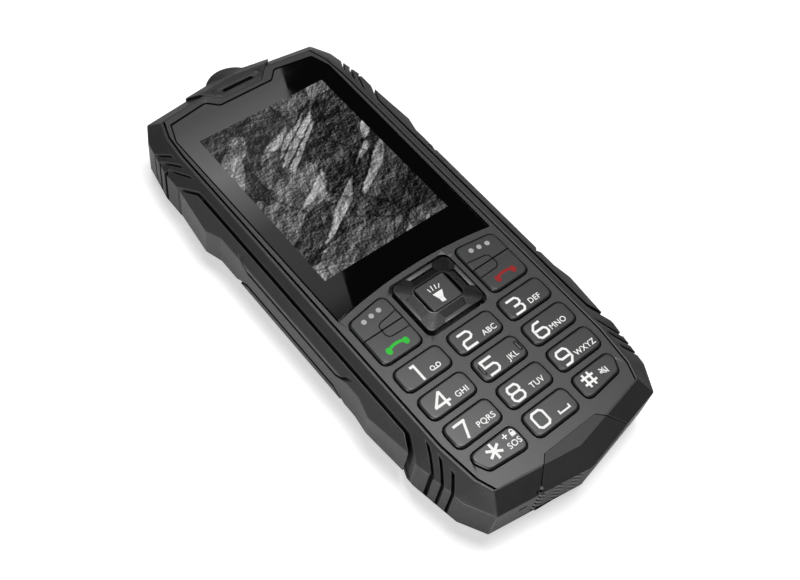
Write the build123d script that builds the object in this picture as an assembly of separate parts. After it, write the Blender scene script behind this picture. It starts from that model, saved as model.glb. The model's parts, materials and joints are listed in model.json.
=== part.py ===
from build123d import *
import math
import os

# Rugged bar phone, lying on its back: X to the right of the face, Y towards the
# earpiece end, Z out of the screen. The origin is on the back, midway along and across.
# Millimetres and degrees throughout.

# Body
BODY_WIDTH = 59.0
BODY_THICKNESS = 16.0
SHOULDER_DROP = 2.7
BACK_BEVEL_HEIGHT = 3.7
BACK_BEVEL_SHARE = 0.8
BOTTOM_POINT = 4.15
BOTTOM_CORNER_INSET = 5.6
LOWER_BEVEL_INSET = 2.1
LOWER_BEVEL_Y = 10.35
LOWER_FLARE_Y = 22.1
UPPER_FLARE_Y = 20.4
UPPER_BEVEL_INSET = 1.8
UPPER_BEVEL_Y = 10.65
TOP_CORNER_INSET = 4.7
TOP_CORNER_Y = 5.65
TOP_EDGE_Y = 2.75

# Face panel and the ridge that frames it
RIDGE_WIDTH = 0.55
PANEL_GROOVE = 0.4
PANEL_SEAM = 0.08
PANEL_THICKNESS = 1.8
LEDGE_WIDTH = 0.8
LEDGE_THICKNESS = 1.0

# Display window
GLASS_THICKNESS = 0.85
GLASS_RECESS = 0.2
GLASS_GAP = 0.3
GLASS_BED = 0.15
GLASS_BOTTOM_INSET = 7.3
GLASS_TOP_INSET = 6.6
GLASS_LENGTH = 61.9
GLASS_CHAMFER_X = 1.8
GLASS_CHAMFER_Y = 4.9
GLASS_CROWN = 1.5
GLASS_ARCH = 2.1
GLASS_TOP_Y = 10.9
NOTCH_HALF = 7.75
NOTCH_SLANT = 2.7
NOTCH_DEPTH = 2.6
NOTCH_RADIUS = 1.2
IMAGE_WIDTH = 36.72
IMAGE_LENGTH = 48.96
IMAGE_TOP_Y = 18.75

# Keypad
KEYPAD_LENGTH = 58.0
KEYPAD_FOOT = 10.72
KEYPAD_MARGIN = 1.3
COLUMN_GAP = 1.85
ROW_GAP = 1.6
KEY_GAP = 0.3
KEY_PROUD = 0.6
KEY_CORNER = 1.8
CORNER_STEPS = 3
POST_SIDES = 8
HEAD_SIDES = 12
KEY_EDGE = 0.3
KEY_TRAVEL = 0.35
FLANGE_WIDTH = 0.5
FLANGE_THICKNESS = 0.6
FLANGE_GAP = 0.2
STEM_RADIUS = 1.4
STEM_REACH = 0.4
CORNER_INSET = 0.6
CORNER_CUT_X = 1.6
CORNER_CUT_Y = 4.1
BOTTOM_SLANT = 1.1
SOFT_BLOCK_LENGTH = 15.0
SOFT_BLOCK_SLANT = 1.6
SOFT_BLOCK_SPLIT = 7.5
SPLIT_GAP = 0.16
KEYPAD_DROP = 2.3

# Navigation key
NAV_WIDTH = 16.6
NAV_LENGTH = 14.0
NAV_CORNER = 1.6
NAV_EDGE_PROUD = 0.25
NAV_RISE = 1.1
NAV_RIM = 0.5
NAV_LEDGE_DEPTH = 1.2
NAV_LEDGE_LENGTH = 7.6
NAV_LEDGE_SLANT = 1.0
NAV_FLANGE_GAP = 0.45
NAV_TAB_LENGTH = 6.0
NAV_ROCK_GAP = 0.3
CENTRE_WIDTH = 8.8
CENTRE_LENGTH = 7.6
CENTRE_CORNER = 0.5
CENTRE_PROUD = 0.3
CENTRE_FLANGE = 0.4
PAD_RIM = 2.1
ROCKER_HEIGHT = 0.3

# Silicone web, domes and main board
PRESS_CLEARANCE = 0.15
WEB_THICKNESS = 0.4
WEB_RIM = 0.7
STEM_CLEARANCE = 0.3
DOME_GAP = 0.05
DOME_HEIGHT = 0.25
DOME_RADIUS = 2.0
DOME_SHEET = 0.1
BOARD_THICKNESS = 1.0
BOARD_CLEARANCE = 0.5
BOARD_STANDOFF = 1.15

# Armour cavity
SIDE_WALL = 1.7
BOTTOM_WALL = 8.3
TOP_WALL = 7.25
CAVITY_CHAMFER = 5.5
HOUSING_CLEARANCE = 0.15

# Side rails
RAIL_POCKET_DEPTH = 2.9
RAIL_VALLEY = 0.7
RAIL_VALLEY_DEPTH = 2.4
RAIL_SEAT = 0.05
RAIL_LIFT = 0.5
RAIL_PROUD = 1.4
RAIL_PROUD_BOTTOM = 1.2
RAIL_PROUD_FOOT = 0.6
RAIL_UNDERCUT = 0.6
RAIL_BEND = 2.6
RAIL_TOP_Y = 42.3
RAIL_BOTTOM_Y = 42.7
RAIL_RAKE = 1.9
RAIL_GAP_TOP = 1.4
RAIL_GAP_BOTTOM = 2.2
RAIL_PEAK_TOP_Y = 28.5
RAIL_NECK_TOP_Y = 24.2
RAIL_PEAK_BOTTOM_Y = 30.6
RAIL_NECK_BOTTOM_Y = 26.0
RAIL_GROOVE_WIDTH = 0.9
RAIL_GROOVE_DEPTH = 1.1
RAIL_BAR_HEIGHT = 4.4
RAIL_BAR_TOP_DROP = 1.7
RAIL_BAR_TOP_Y = 14.2
RAIL_BAR_BOTTOM_Y = 18.2
RAIL_GROOVE_RUN = 4.2
RAIL_GROOVE_RISE = 2.6

# Chevron grooves in the corner bumpers
CHEVRON_COUNT = 3
CHEVRON_WIDTH = 1.0
CHEVRON_DEPTH = 1.1
CHEVRON_TOP_REACH = 3.6
CHEVRON_BOTTOM_REACH = 4.4
CHEVRON_TOP_Y = 53.1
CHEVRON_BOTTOM_Y = 55.2
CHEVRON_PITCH = 3.1
CHEVRON_RAKE = 3.9
CHEVRON_FAN = 0.85

# Earpiece island and torch bump
CAP_PROUD = 0.5
CAP_GAP = 0.12
CAP_FOOT_HALF = 5.6
CAP_FOOT_DROP = 10.5
CAP_SHOULDER_HALF = 12.5
CAP_BACK_DROP = 5.9
TORCH_BUMP_RADIUS = 7.85
TORCH_BUMP_FLAT = 2.2
TORCH_BORE_RADIUS = 3.1
TORCH_LENS_THICKNESS = 1.4
TORCH_LENS_INSET = 0.5
TORCH_FIT = 0.08
TORCH_LED_SIZE = 3.2
TORCH_LED_THICKNESS = 1.2
EAR_SLOT_DROP = 8.4
EAR_SLOT_LENGTH = 9.0
EAR_SLOT_WIDTH = 0.95
EAR_RIM_LENGTH = 13.6
EAR_RIM_BREADTH = 2.7
EAR_RIM_WALL = 0.5
EAR_RIM_HEIGHT = 0.22
EAR_MESH_THICKNESS = 0.2
EARPIECE_LENGTH = 12.0
EARPIECE_WIDTH = 3.6
EARPIECE_HEIGHT = 2.4

# Port flap and charging socket
FLAP_FACE_HALF = 7.6
FLAP_FACE_DROP = 7.9
FLAP_WALL_HALF = 13.4
FLAP_SKIN = 1.7
FLAP_GAP = 0.12
FLAP_LIFT = 0.9
FLAP_BARREL_RADIUS = 0.9
FLAP_BARREL_INSET = 0.93
FLAP_BARREL_GAP = 0.45
FLAP_PIN_RADIUS = 0.4
FLAP_PIN_FIT = 0.05
PORT_POCKET_WIDTH = 12.8
PORT_POCKET_HEIGHT = 5.0
PORT_POCKET_DEPTH = 3.9
SOCKET_WIDTH = 8.94
SOCKET_HEIGHT = 3.2
SOCKET_LENGTH = 7.3
SOCKET_WALL = 0.3
SOCKET_CORNER = 1.2
SOCKET_FIT = 0.15
MIC_SLOT_X = 16.6
MIC_SLOT_LENGTH = 2.0
MIC_SLOT_HEIGHT = 0.8
MIC_SIZE = 3.0
MIC_HEIGHT = 1.1

# Rear housing, battery bay and cover
BACK_WALL = 1.4
ROOF_THICKNESS = 1.2
HOUSING_WALL = 1.3
BAY_MARGIN = 8.5
BAY_TOP_DROP = 40.85
BAY_FOOT = 28.85
BATTERY_CLEARANCE = 0.25
BATTERY_CORNER = 1.5
CONTACT_BLOCK_WIDTH = 9.0
CONTACT_BLOCK_LENGTH = 4.5
COVER_MARGIN_SIDE = 6.0
COVER_MARGIN_TOP = 3.0
COVER_MARGIN_BOTTOM = 14.0
COVER_CORNER = 4.0
COVER_GAP = 0.15
GASKET_WIDTH = 1.0
GASKET_THICKNESS = 0.5
COVER_SCREW_INSET = 7.0
COVER_SCREW_RISE = 5.5
COVER_SCREW_HEAD = 2.4
COVER_SCREW_HEAD_HEIGHT = 0.9
COVER_SCREW_SHANK = 1.0
COVER_SCREW_LENGTH = 3.6
SCREW_FIT = 0.06
SCREW_SINK = 0.1
FRAME_SCREW_HEAD = 1.5
FRAME_SCREW_SHANK = 0.7
FRAME_SCREW_BOSS = 1.9
FRAME_SCREW_INSET = 4.3
SIM_LENGTH = 15.0
SIM_WIDTH = 13.5
SIM_HEIGHT = 1.5
SIM_GAP = 1.5
SIM_CLEARANCE = 0.3
SIM_TOP_DROP = 3.0

# Parts in the upper back
CAMERA_DROP = 17.5
CAMERA_SIZE = 6.5
CAMERA_HEIGHT = 4.2
CAMERA_WINDOW_RADIUS = 3.6
CAMERA_WINDOW_THICKNESS = 0.7
CAMERA_SIGHT_RADIUS = 2.2
CAMERA_WINDOW_SINK = 0.25
SPEAKER_DROP = 29.5
SPEAKER_LENGTH = 15.0
SPEAKER_WIDTH = 11.0
SPEAKER_HEIGHT = 3.2
SPEAKER_MESH = 0.2
GRILLE_SLOTS = 5
GRILLE_SLOT_LENGTH = 10.0
GRILLE_SLOT_WIDTH = 0.9
GRILLE_PITCH = 1.9
MOTOR_RADIUS = 4.0
MOTOR_HEIGHT = 2.6
MOTOR_X = 13.0
SHIELD_HEIGHT = 0.9
SHIELD_WALL = 0.2
SHIELD_WIDTH = 15.0
SHIELD_SPACING = 4.0
SHIELD_RISE = 8.0
SHIELD_TOP_DROP = 40.0
LCD_MARGIN = 1.6
LCD_CHIN = 3.0
LCD_PANEL_THICKNESS = 1.4
LCD_AIR = 0.1
LCD_FRAME_WALL = 0.5
ANTENNA_THICKNESS = 0.3
ANTENNA_LENGTH = 9.0
ANTENNA_WIDTH = 34.0

# Levels worked out from the sizes above
HALF_LENGTH = (GLASS_TOP_Y + GLASS_LENGTH + GLASS_CHAMFER_Y + KEYPAD_LENGTH) / 2
HALF_WIDTH = BODY_WIDTH / 2
BOTTOM_CORNER_X = HALF_WIDTH - BOTTOM_CORNER_INSET
RAIL_POCKET_X = HALF_WIDTH - RAIL_POCKET_DEPTH
COVER_HALF_WIDTH = HALF_WIDTH - COVER_MARGIN_SIDE
COVER_SCREW_X = COVER_HALF_WIDTH - COVER_SCREW_INSET
BAY_HALF_WIDTH = HALF_WIDTH - BAY_MARGIN
FACE_Z = BODY_THICKNESS
SHOULDER_Z = FACE_Z - SHOULDER_DROP
ARMOUR_Z = BACK_BEVEL_HEIGHT
PANEL_Z = FACE_Z - PANEL_THICKNESS
LEDGE_Z = PANEL_Z - LEDGE_THICKNESS
GLASS_TOP_Z = FACE_Z - GLASS_RECESS
GLASS_Z = GLASS_TOP_Z - GLASS_THICKNESS
GLASS_BED_Z = GLASS_Z - GLASS_BED
FLANGE_TOP_Z = PANEL_Z - FLANGE_GAP
FLANGE_Z = FLANGE_TOP_Z - FLANGE_THICKNESS
KEY_TOP_Z = FACE_Z + KEY_PROUD
WEB_TOP_Z = FLANGE_Z - KEY_TRAVEL - PRESS_CLEARANCE
WEB_Z = WEB_TOP_Z - WEB_THICKNESS
STEM_Z = WEB_Z - STEM_REACH
DOME_TOP_Z = STEM_Z - KEY_TRAVEL - DOME_GAP
DOME_SHEET_Z = DOME_TOP_Z - DOME_HEIGHT - DOME_SHEET
BOARD_TOP_Z = DOME_SHEET_Z
BOARD_Z = BOARD_TOP_Z - BOARD_THICKNESS
ROOF_TOP_Z = BOARD_Z - BOARD_STANDOFF
ROOF_Z = ROOF_TOP_Z - ROOF_THICKNESS
NAV_FLANGE_TOP_Z = PANEL_Z - NAV_FLANGE_GAP
NAV_Z = NAV_FLANGE_TOP_Z - FLANGE_THICKNESS
NAV_EDGE_Z = FACE_Z + NAV_EDGE_PROUD
NAV_TOP_Z = NAV_EDGE_Z + NAV_RISE
PAD_TOP_Z = NAV_Z - NAV_ROCK_GAP
PAD_Z = BOARD_TOP_Z + DOME_SHEET + ROCKER_HEIGHT
CENTRE_TOP_Z = NAV_TOP_Z + CENTRE_PROUD
CENTRE_FLANGE_TOP_Z = NAV_Z - NAV_ROCK_GAP
RAIL_Z = ARMOUR_Z + RAIL_LIFT

# Places along the body
GLASS_TOP = HALF_LENGTH - GLASS_TOP_Y
GLASS_BOTTOM = GLASS_TOP - GLASS_LENGTH - GLASS_CHAMFER_Y
IMAGE_CENTRE_Y = HALF_LENGTH - IMAGE_TOP_Y - IMAGE_LENGTH / 2
BAY_TOP_Y = HALF_LENGTH - BAY_TOP_DROP
BAY_BOTTOM_Y = -HALF_LENGTH + BAY_FOOT
COVER_TOP_Y = BAY_TOP_Y + COVER_MARGIN_TOP
COVER_BOTTOM_Y = BAY_BOTTOM_Y - COVER_MARGIN_BOTTOM
CAMERA_Y = HALF_LENGTH - CAMERA_DROP
SPEAKER_Y = HALF_LENGTH - SPEAKER_DROP
EAR_SLOT_Y = HALF_LENGTH - EAR_SLOT_DROP
TORCH_Y = HALF_LENGTH - TORCH_BUMP_RADIUS
TORCH_Z = (ARMOUR_Z + SHOULDER_Z) / 2

# Right half of each outline, from the bottom point round to the top. An inset is
# how far the face ridge stands in from the outer edge at each of those corners.
OUTER_HALF = [
    (0, -HALF_LENGTH),
    (BOTTOM_CORNER_X, -HALF_LENGTH + BOTTOM_POINT),
    (HALF_WIDTH - LOWER_BEVEL_INSET, -HALF_LENGTH + LOWER_BEVEL_Y),
    (HALF_WIDTH, -HALF_LENGTH + LOWER_FLARE_Y),
    (HALF_WIDTH, HALF_LENGTH - UPPER_FLARE_Y),
    (HALF_WIDTH - UPPER_BEVEL_INSET, HALF_LENGTH - UPPER_BEVEL_Y),
    (HALF_WIDTH - TOP_CORNER_INSET, HALF_LENGTH - TOP_CORNER_Y),
    (0, HALF_LENGTH - TOP_EDGE_Y),
]
RIDGE_INSETS = [
    (0, 4.65), (2.15, 4.1), (4.1, 2.0), (5.4, 0),
    (4.6, 0), (3.3, -3.2), (2.05, -3.3), (0, -3.6),
]
RIDGE_HALF = [(x - dx, y + dy) for (x, y), (dx, dy) in zip(OUTER_HALF, RIDGE_INSETS)]
BACK_HALF = [
    (x - dx * BACK_BEVEL_SHARE, y + dy * BACK_BEVEL_SHARE)
    for (x, y), (dx, dy) in zip(OUTER_HALF, RIDGE_INSETS)
]


def closed(half):
    """Both halves of an outline that is given for its right side."""
    return half + [(-x, y) for x, y in reversed(half) if x > 0]


def mirrored(points):
    return [(-x, y) for x, y in reversed(points)]


def drawn_in(half, amount):
    """The outline drawn in towards the middle by the same amount at the sides and ends."""
    across = 1 - amount / HALF_WIDTH
    along = 1 - amount / HALF_LENGTH
    return [(x * across, y * along) for x, y in half]


def rounded_face(points, radius):
    return fillet(Polygon(*points, align=None).vertices(), radius)


def stepped_face(points, radius):
    """An outline whose corners follow an arc in a few short steps, for shapes that repeat."""
    rounded_points = []
    for before, corner, after in zip(points[-1:] + points[:-1], points, points[1:] + points[:1]):
        corner = Vector(*corner)
        back = (Vector(*before) - corner).normalized()
        ahead = (Vector(*after) - corner).normalized()
        half_angle = math.radians(back.get_angle(ahead)) / 2
        centre = corner + (back + ahead).normalized() * (radius / math.sin(half_angle))
        start = corner + back * (radius / math.tan(half_angle)) - centre
        turn = 180 - 2 * math.degrees(half_angle)
        for step in range(CORNER_STEPS + 1):
            point = centre + start.rotate(Axis.Z, turn * step / CORNER_STEPS)
            rounded_points.append((point.X, point.Y))
    return Polygon(*rounded_points, align=None)


def raised(face, low, high):
    return Pos(0, 0, low) * extrude(face, high - low)


def plate(points, low, high):
    return raised(Polygon(*points, align=None), low, high)


def rounded(points, radius, low, high):
    return raised(rounded_face(points, radius), low, high)


def block(x_low, x_high, y_low, y_high, z_low, z_high):
    size = (x_high - x_low, y_high - y_low, z_high - z_low)
    return Pos(x_low, y_low, z_low) * Box(*size, align=(Align.MIN, Align.MIN, Align.MIN))


def rod(radius, x, y, low, high):
    return Pos(x, y, low) * Cylinder(radius, high - low, align=(Align.CENTER, Align.CENTER, Align.MIN))


def post(radius, x, y, low, high, sides=POST_SIDES):
    """An upright with flats, for the small stems and shanks that repeat."""
    return Pos(x, y, low) * extrude(RegularPolygon(radius, sides), high - low)


def rod_along_y(radius, x, y_low, y_high, z):
    return Pos(x, y_high, z) * Rot(90, 0, 0) * Cylinder(
        radius, y_high - y_low, align=(Align.CENTER, Align.CENTER, Align.MIN))


def body_form(amount=0.0):
    """Outer form of the armour, drawn in by an amount at its sides, ends and face."""
    outer = closed(drawn_in(OUTER_HALF, amount))
    ridge = closed(drawn_in(RIDGE_HALF, amount))
    foot = Polygon(*outer, align=None)
    crest = Polygon(*ridge, align=None)
    wall = Pos(0, 0, ARMOUR_Z) * extrude(foot, SHOULDER_Z - amount - ARMOUR_Z)
    sections = [Pos(0, 0, SHOULDER_Z - amount) * foot, Pos(0, 0, FACE_Z - amount) * crest]
    return wall + loft(sections, ruled=True)


def inset_ridge(side, end):
    """The ridge outline moved in by one amount at its sides and another at its ends."""
    half = []
    for x, y in RIDGE_HALF:
        half.append((max(x - side, 0), y - math.copysign(end, y)))
    return half


def ridge_x_at(y):
    """Half width of the face ridge beside the rails, which narrows towards the bottom."""
    (x_low, y_low), (x_high, y_high) = RIDGE_HALF[3], RIDGE_HALF[4]
    return x_low + (x_high - x_low) * (y - y_low) / (y_high - y_low)


PANEL_HALF = inset_ridge(RIDGE_WIDTH + PANEL_GROOVE, PANEL_SEAM)
OPENING_HALF = inset_ridge(RIDGE_WIDTH, 0)
LEDGE_HALF = inset_ridge(
    RIDGE_WIDTH + PANEL_GROOVE + LEDGE_WIDTH + KEY_GAP, LEDGE_WIDTH + KEY_GAP)
CAVITY_HALF_WIDTH = RAIL_POCKET_X - SIDE_WALL
FRAME_SCREW_X = CAVITY_HALF_WIDTH - FRAME_SCREW_INSET
CAVITY_BOTTOM_Y = -HALF_LENGTH + BOTTOM_WALL
CAVITY_TOP_Y = HALF_LENGTH - TOP_WALL


def cavity_points(clearance):
    """Outline of the space inside the armour, drawn in by a clearance."""
    width = CAVITY_HALF_WIDTH - clearance
    low = CAVITY_BOTTOM_Y + clearance
    high = CAVITY_TOP_Y - clearance
    half = [
        (width - CAVITY_CHAMFER, low),
        (width, low + CAVITY_CHAMFER),
        (width, high - CAVITY_CHAMFER),
        (width - CAVITY_CHAMFER, high),
    ]
    return half + mirrored(half)


KEY_GRID = [
    ["key_1", "key_2", "key_3"],
    ["key_4", "key_5", "key_6"],
    ["key_7", "key_8", "key_9"],
    ["key_star", "key_0", "key_hash"],
]

# Keypad grid: the cut-outs fill the panel between its margins
KEYPAD_HALF_WIDTH = PANEL_HALF[3][0] - KEYPAD_MARGIN
CUTOUT_WIDTH = (2 * KEYPAD_HALF_WIDTH - 2 * COLUMN_GAP) / 3
COLUMN_PITCH = CUTOUT_WIDTH + COLUMN_GAP
KEYPAD_TOP_Y = GLASS_BOTTOM + GLASS_ARCH - KEYPAD_DROP
ROW_PITCH = (HALF_LENGTH - KEYPAD_FOOT + KEYPAD_TOP_Y - SOFT_BLOCK_LENGTH) / len(KEY_GRID)
CUTOUT_LENGTH = ROW_PITCH - ROW_GAP
NAV_Y = KEYPAD_TOP_Y - KEY_GAP - NAV_LENGTH / 2
BLOCK_INNER_X = NAV_WIDTH / 2 + KEY_GAP + COLUMN_GAP
SPLIT_Y = KEYPAD_TOP_Y - SOFT_BLOCK_SPLIT
FIRST_ROW_Y = KEYPAD_TOP_Y - SOFT_BLOCK_LENGTH - ROW_GAP - CUTOUT_LENGTH / 2


def corner_key_points(one_side, other_side, low, high):
    """Window of the right corner key: its outer side stands in and its bottom corner is cut."""
    inner = min(one_side, other_side)
    outer = max(one_side, other_side) - CORNER_INSET
    return [
        (inner, low),
        (outer - CORNER_CUT_X, low + BOTTOM_SLANT),
        (outer, low + CORNER_CUT_Y),
        (outer, high),
        (inner, high),
    ]


def key_window(name, column, row):
    """Cut-out of a number key in the panel. The keypad's bottom corners are cut away."""
    x = (column - 1) * COLUMN_PITCH
    y = FIRST_ROW_Y - row * ROW_PITCH
    left, right = x - CUTOUT_WIDTH / 2, x + CUTOUT_WIDTH / 2
    low, high = y - CUTOUT_LENGTH / 2, y + CUTOUT_LENGTH / 2
    points = [(left, low), (right, low), (right, high), (left, high)]
    if name in ("key_star", "key_hash"):
        points = corner_key_points(abs(left), abs(right), low, high)
    if name == "key_star":
        points = mirrored(points)
    return stepped_face(points, KEY_CORNER)


def block_window(side):
    """Cut-out of a soft key block beside the navigation key; its top follows the glass."""
    low = KEYPAD_TOP_Y - SOFT_BLOCK_LENGTH
    points = [
        (BLOCK_INNER_X, low),
        (KEYPAD_HALF_WIDTH, low),
        (KEYPAD_HALF_WIDTH, KEYPAD_TOP_Y - SOFT_BLOCK_SLANT),
        (BLOCK_INNER_X, KEYPAD_TOP_Y),
    ]
    return stepped_face(points if side > 0 else mirrored(points), KEY_CORNER)


def stem_places():
    """Where each key's stem meets its dome."""
    places = []
    for row, names in enumerate(KEY_GRID):
        for column in range(len(names)):
            places.append(((column - 1) * COLUMN_PITCH, FIRST_ROW_Y - row * ROW_PITCH))
    upper = (KEYPAD_TOP_Y + SPLIT_Y) / 2 - SOFT_BLOCK_SLANT / 2
    lower = (SPLIT_Y + KEYPAD_TOP_Y - SOFT_BLOCK_LENGTH) / 2
    x = (BLOCK_INNER_X + KEYPAD_HALF_WIDTH) / 2
    for side in (-1, 1):
        places.append((side * x, upper))
        places.append((side * x, lower))
    return places


def key_cap(window):
    """A key cap that stands in its window with a gap, and its retaining flange under the panel."""
    outline = offset(window, -KEY_GAP, kind=Kind.INTERSECTION)
    crest = offset(window, -KEY_GAP - KEY_EDGE, kind=Kind.INTERSECTION)
    edge_z = KEY_TOP_Z - KEY_EDGE
    cap = raised(outline, FLANGE_Z, edge_z)
    cap += loft([Pos(0, 0, edge_z) * outline, Pos(0, 0, KEY_TOP_Z) * crest], ruled=True)
    extent = window.bounding_box()
    flange = block(
        extent.min.X - FLANGE_WIDTH, extent.max.X + FLANGE_WIDTH, extent.min.Y - FLANGE_WIDTH,
        extent.max.Y + FLANGE_WIDTH, FLANGE_Z, FLANGE_TOP_Z)
    return cap + (flange & plate(closed(LEDGE_HALF), FLANGE_Z, FLANGE_TOP_Z))


def key_stem(place):
    return post(STEM_RADIUS, place[0], place[1], STEM_Z, FLANGE_Z)


def number_keys():
    keys = {}
    places = stem_places()
    for row, names in enumerate(KEY_GRID):
        for column, name in enumerate(names):
            stem = key_stem(places[row * len(names) + column])
            keys[name] = key_cap(key_window(name, column, row)) + stem
    return keys


def side_keys():
    """The soft, call and end keys: each block is split across by a hairline."""
    keys = {}
    stems = stem_places()[-4:]
    names = ["soft_key_left", "call_key", "soft_key_right", "end_key"]
    for index, name in enumerate(names):
        side = -1 if index < 2 else 1
        upper = index % 2 == 0
        low_y = SPLIT_Y + SPLIT_GAP / 2 if upper else -HALF_LENGTH
        high_y = HALF_LENGTH if upper else SPLIT_Y - SPLIT_GAP / 2
        half_space = block(-HALF_WIDTH, HALF_WIDTH, low_y, high_y, 0, KEY_TOP_Z + 1)
        keys[name] = (key_cap(block_window(side)) & half_space) + key_stem(stems[index])
    return keys


def rectangle(width, length, centre_y):
    half_width, half_length = width / 2, length / 2
    return [
        (-half_width, centre_y - half_length),
        (half_width, centre_y - half_length),
        (half_width, centre_y + half_length),
        (-half_width, centre_y + half_length),
    ]


def nav_ring():
    """Four-way key: a low pyramid with a ledge cut into each side and a well for the centre key."""
    base = rounded(rectangle(NAV_WIDTH, NAV_LENGTH, NAV_Y), NAV_CORNER, NAV_Z, NAV_EDGE_Z)
    well_width = CENTRE_WIDTH + 2 * KEY_GAP
    well_length = CENTRE_LENGTH + 2 * KEY_GAP
    foot = fillet(Polygon(*rectangle(NAV_WIDTH, NAV_LENGTH, NAV_Y), align=None).vertices(), NAV_CORNER)
    crest_size = (well_width + 2 * NAV_RIM, well_length + 2 * NAV_RIM)
    crest = Polygon(*rectangle(*crest_size, NAV_Y), align=None)
    crest = fillet(crest.vertices(), CENTRE_CORNER + NAV_RIM)
    slope = loft([Pos(0, 0, NAV_EDGE_Z) * foot, Pos(0, 0, NAV_TOP_Z) * crest], ruled=True)
    ring = base + slope
    for index in range(4):
        across = NAV_WIDTH if index % 2 == 0 else NAV_LENGTH
        half = NAV_LEDGE_LENGTH / 2
        ledge = [
            (across / 2 - NAV_LEDGE_DEPTH, -half),
            (across / 2 + 1, -half - NAV_LEDGE_SLANT),
            (across / 2 + 1, half + NAV_LEDGE_SLANT),
            (across / 2 - NAV_LEDGE_DEPTH, half),
        ]
        cutter = plate(ledge, NAV_EDGE_Z, NAV_TOP_Z + 1)
        ring -= Pos(0, NAV_Y, 0) * Rot(0, 0, 90 * index) * cutter
    tab_reach = FLANGE_WIDTH + KEY_GAP
    tabs = plate(rectangle(NAV_WIDTH + 2 * tab_reach, NAV_TAB_LENGTH, NAV_Y), NAV_Z, NAV_FLANGE_TOP_Z)
    tabs += plate(rectangle(NAV_TAB_LENGTH, NAV_LENGTH + 2 * tab_reach, NAV_Y), NAV_Z, NAV_FLANGE_TOP_Z)
    well = rounded(rectangle(well_width, well_length, NAV_Y), CENTRE_CORNER, NAV_Z - 1, NAV_TOP_Z + 1)
    return ring + tabs - well


def pad_sizes():
    width = CENTRE_WIDTH + 2 * (KEY_GAP + FLANGE_WIDTH + STEM_CLEARANCE)
    length = CENTRE_LENGTH + 2 * (KEY_GAP + FLANGE_WIDTH + STEM_CLEARANCE)
    return width, length


def nav_pad():
    """Silicone ring under the four-way key: it rocks about X, and the key rocks on it about Y."""
    width, length = pad_sizes()
    outer = rectangle(width + 2 * PAD_RIM, length + 2 * PAD_RIM, NAV_Y)
    pad = rounded(outer, CENTRE_CORNER, PAD_Z, PAD_TOP_Z)
    pad -= plate(rectangle(width, length, NAV_Y), PAD_Z - 1, PAD_TOP_Z + 1)
    reach = length / 2 + PAD_RIM
    upper = Polygon((-ROCKER_HEIGHT, 0), (ROCKER_HEIGHT, 0), (0, NAV_Z - PAD_TOP_Z), align=None)
    for y in (NAV_Y - length / 2, NAV_Y + reach):
        pad += Pos(0, y, PAD_TOP_Z) * extrude(Plane.XZ * upper, PAD_RIM)
    reach = width / 2 + PAD_RIM
    lower = Polygon((ROCKER_HEIGHT, 0), (-ROCKER_HEIGHT, 0), (0, -ROCKER_HEIGHT), align=None)
    for x in (-reach, width / 2):
        pad += Pos(x, NAV_Y, PAD_Z) * extrude(Plane.YZ * lower, PAD_RIM)
    return pad


def centre_key():
    outline = stepped_face(rectangle(CENTRE_WIDTH, CENTRE_LENGTH, NAV_Y), CENTRE_CORNER)
    crest = offset(outline, -KEY_EDGE, kind=Kind.INTERSECTION)
    edge_z = CENTRE_TOP_Z - KEY_EDGE
    cap = raised(outline, NAV_Z, edge_z)
    cap += loft([Pos(0, 0, edge_z) * outline, Pos(0, 0, CENTRE_TOP_Z) * crest], ruled=True)
    neck_low = CENTRE_FLANGE_TOP_Z - CENTRE_FLANGE
    neck = plate(rectangle(CENTRE_WIDTH, CENTRE_LENGTH, NAV_Y), neck_low, NAV_Z)
    reach = 2 * (KEY_GAP + FLANGE_WIDTH)
    flange = plate(
        rectangle(CENTRE_WIDTH + reach, CENTRE_LENGTH + reach, NAV_Y), neck_low, CENTRE_FLANGE_TOP_Z)
    return cap + neck + flange + post(STEM_RADIUS, 0, NAV_Y, STEM_Z, neck_low)


def glass_outline(grow=0.0):
    """Display window: cut top corners, a dip under the earpiece and an arched bottom edge."""
    top_x = HALF_WIDTH - GLASS_TOP_INSET
    half = [
        (top_x, GLASS_TOP - GLASS_CHAMFER_Y),
        (top_x - GLASS_CHAMFER_X, GLASS_TOP),
        (NOTCH_HALF + NOTCH_SLANT, GLASS_TOP + GLASS_CROWN),
        (NOTCH_HALF, GLASS_TOP + GLASS_CROWN - NOTCH_DEPTH),
    ]
    corner = (HALF_WIDTH - GLASS_BOTTOM_INSET, GLASS_BOTTOM)
    across = [corner] + half + mirrored(half) + [(-corner[0], corner[1])]
    sides = Polyline(*across)
    arch = ThreePointArc(across[-1], (0, GLASS_BOTTOM + GLASS_ARCH), across[0])
    outline = make_face(Curve() + [sides, arch])
    notch_low = GLASS_TOP + GLASS_CROWN - NOTCH_DEPTH
    notch_reach = NOTCH_HALF + NOTCH_SLANT + 1
    dips = [v for v in outline.vertices() if abs(v.X) < notch_reach and v.Y > notch_low - 1]
    outline = fillet(dips, NOTCH_RADIUS)
    return offset(outline, grow) if grow else outline


def island_points(grow):
    """Plan of the raised island round the earpiece, foot to shoulder."""
    foot_y = HALF_LENGTH - CAP_FOOT_DROP - grow
    top_y = HALF_LENGTH - TOP_EDGE_Y + CAP_PROUD + grow
    half = [
        (CAP_FOOT_HALF + grow, foot_y),
        (CAP_SHOULDER_HALF + grow, HALF_LENGTH - TORCH_BUMP_RADIUS + CAP_BACK_DROP - 2),
        (CAP_SHOULDER_HALF + grow, top_y),
    ]
    return half + mirrored(half)


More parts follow.
